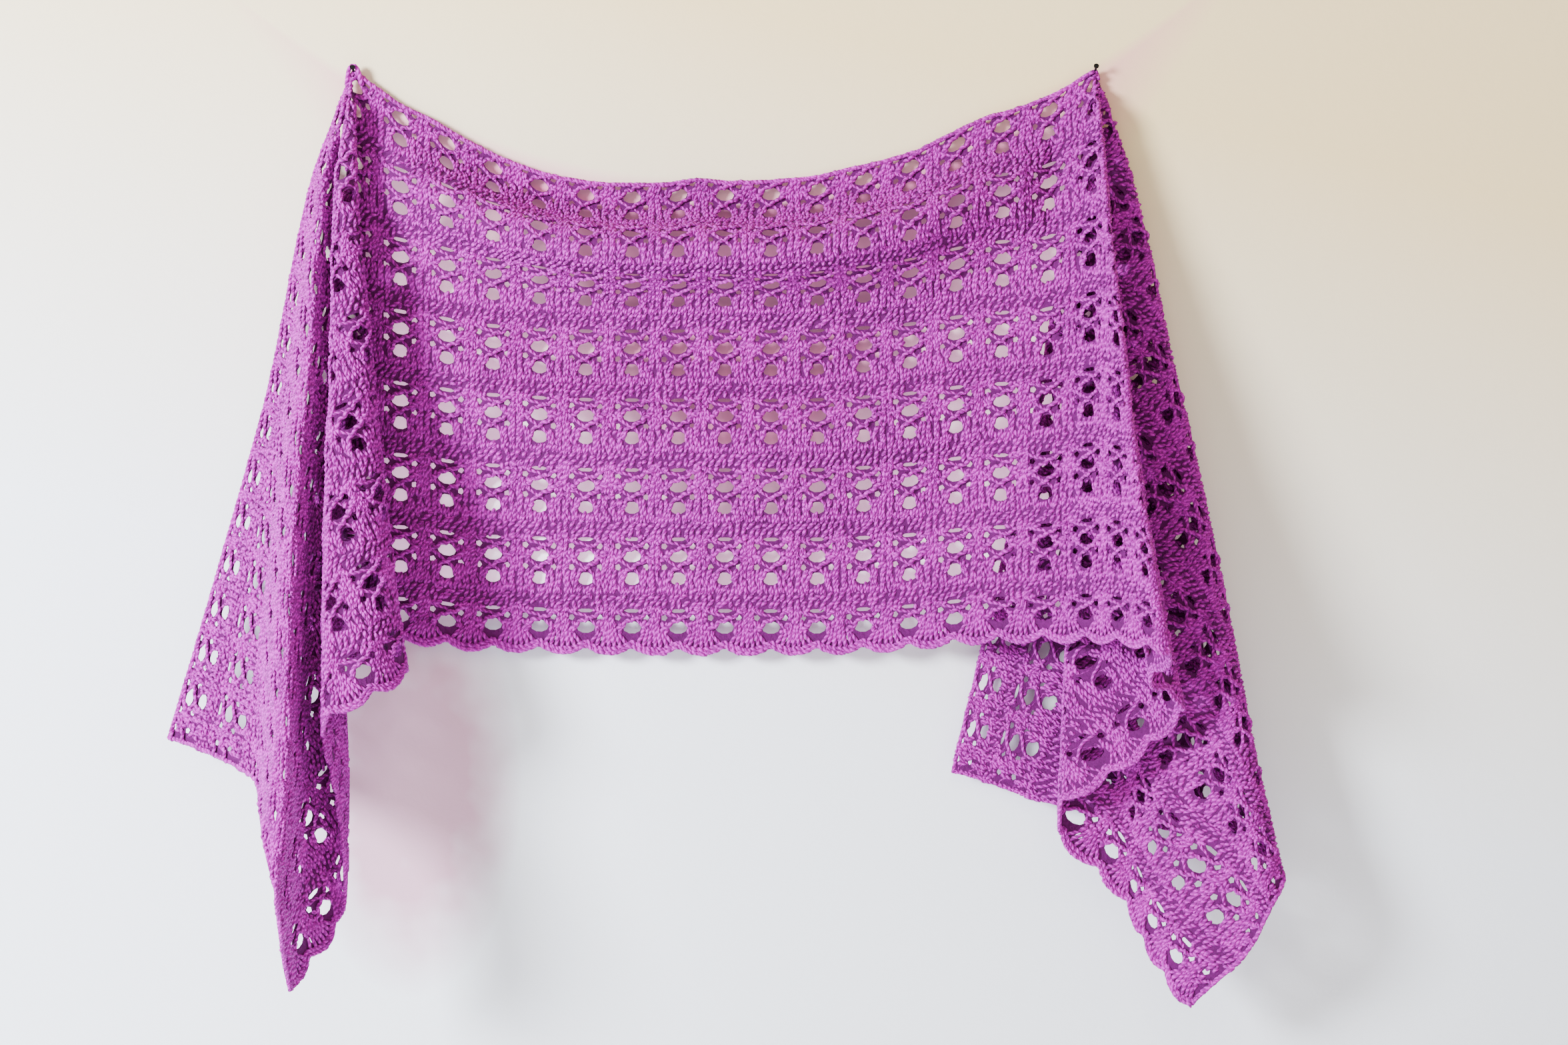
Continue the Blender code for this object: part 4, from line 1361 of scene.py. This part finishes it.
def short_end(place):
    """Border stitches down one short end, two leaning rows."""
    inward = END_INSET if place < 0 else -END_INSET
    rows = []
    for lean in END_LEANS:
        run, off, out = border_row(0.0, END_PITCH, int(CLOTH_WIDTH / END_PITCH), END_REACH, lean)
        rows.append(np.stack([place + inward + off, run, out], axis=-1))
    return np.concatenate(rows)


class SHAWL_OT_nails(bpy.types.Operator):
    """Dark steel finish on both nails"""

    bl_idname = "shawl.nails"
    bl_label = "Nails"

    def execute(self, context):
        look = nail_material()
        for name in ("left_nail", "right_nail"):
            for slot in frame["nodes"][name].material_slots:
                slot.material = look
        return {"FINISHED"}


# Stage


WALL_REACH = (1.9, 1.25)
FLOOR_DOWN = 1.20
FLOOR_NEAR = -3.2
CAMERA_LENS = 50.0
ROOM_COLOR = (1.0, 0.96, 0.94, 1.0)
ROOM_LIGHT = 0.26
LIGHTS = (
    # name, place, target, size, power, colour
    ("window_left", (-1.45, -1.60, 0.15), (0.25, 0.0, -0.35), 0.7, 192.0, (0.86, 0.92, 1.0)),
    ("room_front", (0.3, -2.9, 0.9), (0.35, 0.0, -0.35), 2.2, 38.0, (1.0, 0.91, 0.82)),
    ("room_right", (2.4, -1.6, 0.4), (0.45, 0.0, -0.4), 1.6, 14.0, (1.0, 0.88, 0.76)),
)


def stage_plane(name, corners, look):
    """One flat rectangle of the stage."""
    mesh = bpy.data.meshes.new(name)
    mesh.from_pydata(corners, [], [(0, 1, 2, 3)])
    mesh.materials.append(look)
    add_object(name, mesh)


class SHAWL_OT_stage(bpy.types.Operator):
    """Pale wall and floor, soft lights and the camera"""

    bl_idname = "shawl.stage"
    bl_label = "Stage"

    def execute(self, context):
        colors = context.scene.shawl_colors
        centre = (NAIL_SPACING / 2, VIEW_CENTRE[1])
        low = centre[0] - WALL_REACH[0]
        high = centre[0] + WALL_REACH[0]
        foot = -FLOOR_DOWN
        top = foot + 2 * WALL_REACH[1]
        # Painted light: the cool and warm wall colours stand for the window light and the room light
        cool = tuple(colors.wall_cool)
        warm = tuple(colors.wall_warm)
        wall, paint = plaster_material("wall_paint_and_light", cool, warm)
        tint_wall(wall, paint, tuple(colors.wall_glow))
        corners = [(low, 0, foot), (high, 0, foot), (high, 0, top), (low, 0, top)]
        stage_plane("wall", corners, wall.material)
        floor, _ = plaster_material("floor_paint", cool, warm)
        near = FLOOR_NEAR
        corners = [(low, near, foot), (high, near, foot), (high, 0, foot), (low, 0, foot)]
        stage_plane("floor", corners, floor.material)
        for name, place, target, size, power, color in LIGHTS:
            light = bpy.data.lights.new(name, "AREA")
            light.shape = "DISK"
            light.size = size
            light.energy = power
            light.color = color
            lamp = add_object(name, light)
            lamp.location = place
            lamp.rotation_euler = (Vector(target) - Vector(place)).to_track_quat("-Z", "Y").to_euler()
        world = bpy.data.worlds.new("soft_room")
        world.use_nodes = True
        world.node_tree.nodes["Background"].inputs[0].default_value = ROOM_COLOR
        world.node_tree.nodes["Background"].inputs[1].default_value = ROOM_LIGHT
        context.scene.world = world
        camera = bpy.data.cameras.new("camera")
        camera.lens = CAMERA_LENS
        camera.clip_start = 0.01
        eye = add_object("camera", camera)
        eye.location = (VIEW_CENTRE[0], -(VIEW_DISTANCE + APEX_DEPTH), VIEW_CENTRE[1])
        eye.rotation_euler = (math.radians(90.0), 0.0, 0.0)
        context.scene.camera = eye
        return {"FINISHED"}


class SHAWL_PT_panel(bpy.types.Panel):
    """Sizes, colours and the steps that build the shawl"""

    bl_idname = "SHAWL_PT_panel"
    bl_label = "Lace Shawl"
    bl_space_type = "VIEW_3D"
    bl_region_type = "UI"
    bl_category = "Shawl"

    def draw(self, context):
        for group in (context.scene.shawl_sizes, context.scene.shawl_colors):
            for name in group.bl_rna.properties.keys():
                if name not in ("rna_type", "name"):
                    self.layout.prop(group, name)
        for operator in STEPS:
            self.layout.operator(operator.bl_idname)


STEPS = (
    SHAWL_OT_ground,
    SHAWL_OT_arches,
    SHAWL_OT_posts,
    SHAWL_OT_bands,
    SHAWL_OT_borders,
    SHAWL_OT_nails,
    SHAWL_OT_stage,
)
CLASSES = (SHAWL_PG_sizes, SHAWL_PG_colors) + STEPS + (SHAWL_PT_panel,)


def register():
    for item in CLASSES:
        bpy.utils.register_class(item)
    bpy.types.Scene.shawl_sizes = PointerProperty(type=SHAWL_PG_sizes)
    bpy.types.Scene.shawl_colors = PointerProperty(type=SHAWL_PG_colors)


def unregister():
    del bpy.types.Scene.shawl_sizes
    del bpy.types.Scene.shawl_colors
    for item in reversed(CLASSES):
        bpy.utils.unregister_class(item)


def declare_cloth():
    """Looks up each stretch's ground, its flat area and the pieces worked on it, and does nothing more with
    them.
    """
    objects = bpy.data.objects
    borders = [objects["top_border"], objects["scalloped_border"], objects["end_borders"]]
    for name in STRETCHES:
        worked = [objects[name + kind] for kind in ("_arches", "_posts", "_bands")]
        if name == "middle":
            worked += borders
        objects[name + "_lace"]
        objects[name + "_lace"]["flat_area"]


def main():
    register()
    for operator in STEPS:
        group, step = operator.bl_idname.split(".")
        getattr(getattr(bpy.ops, group), step)()
    declare_cloth()


if __name__ == "__main__":
    main()
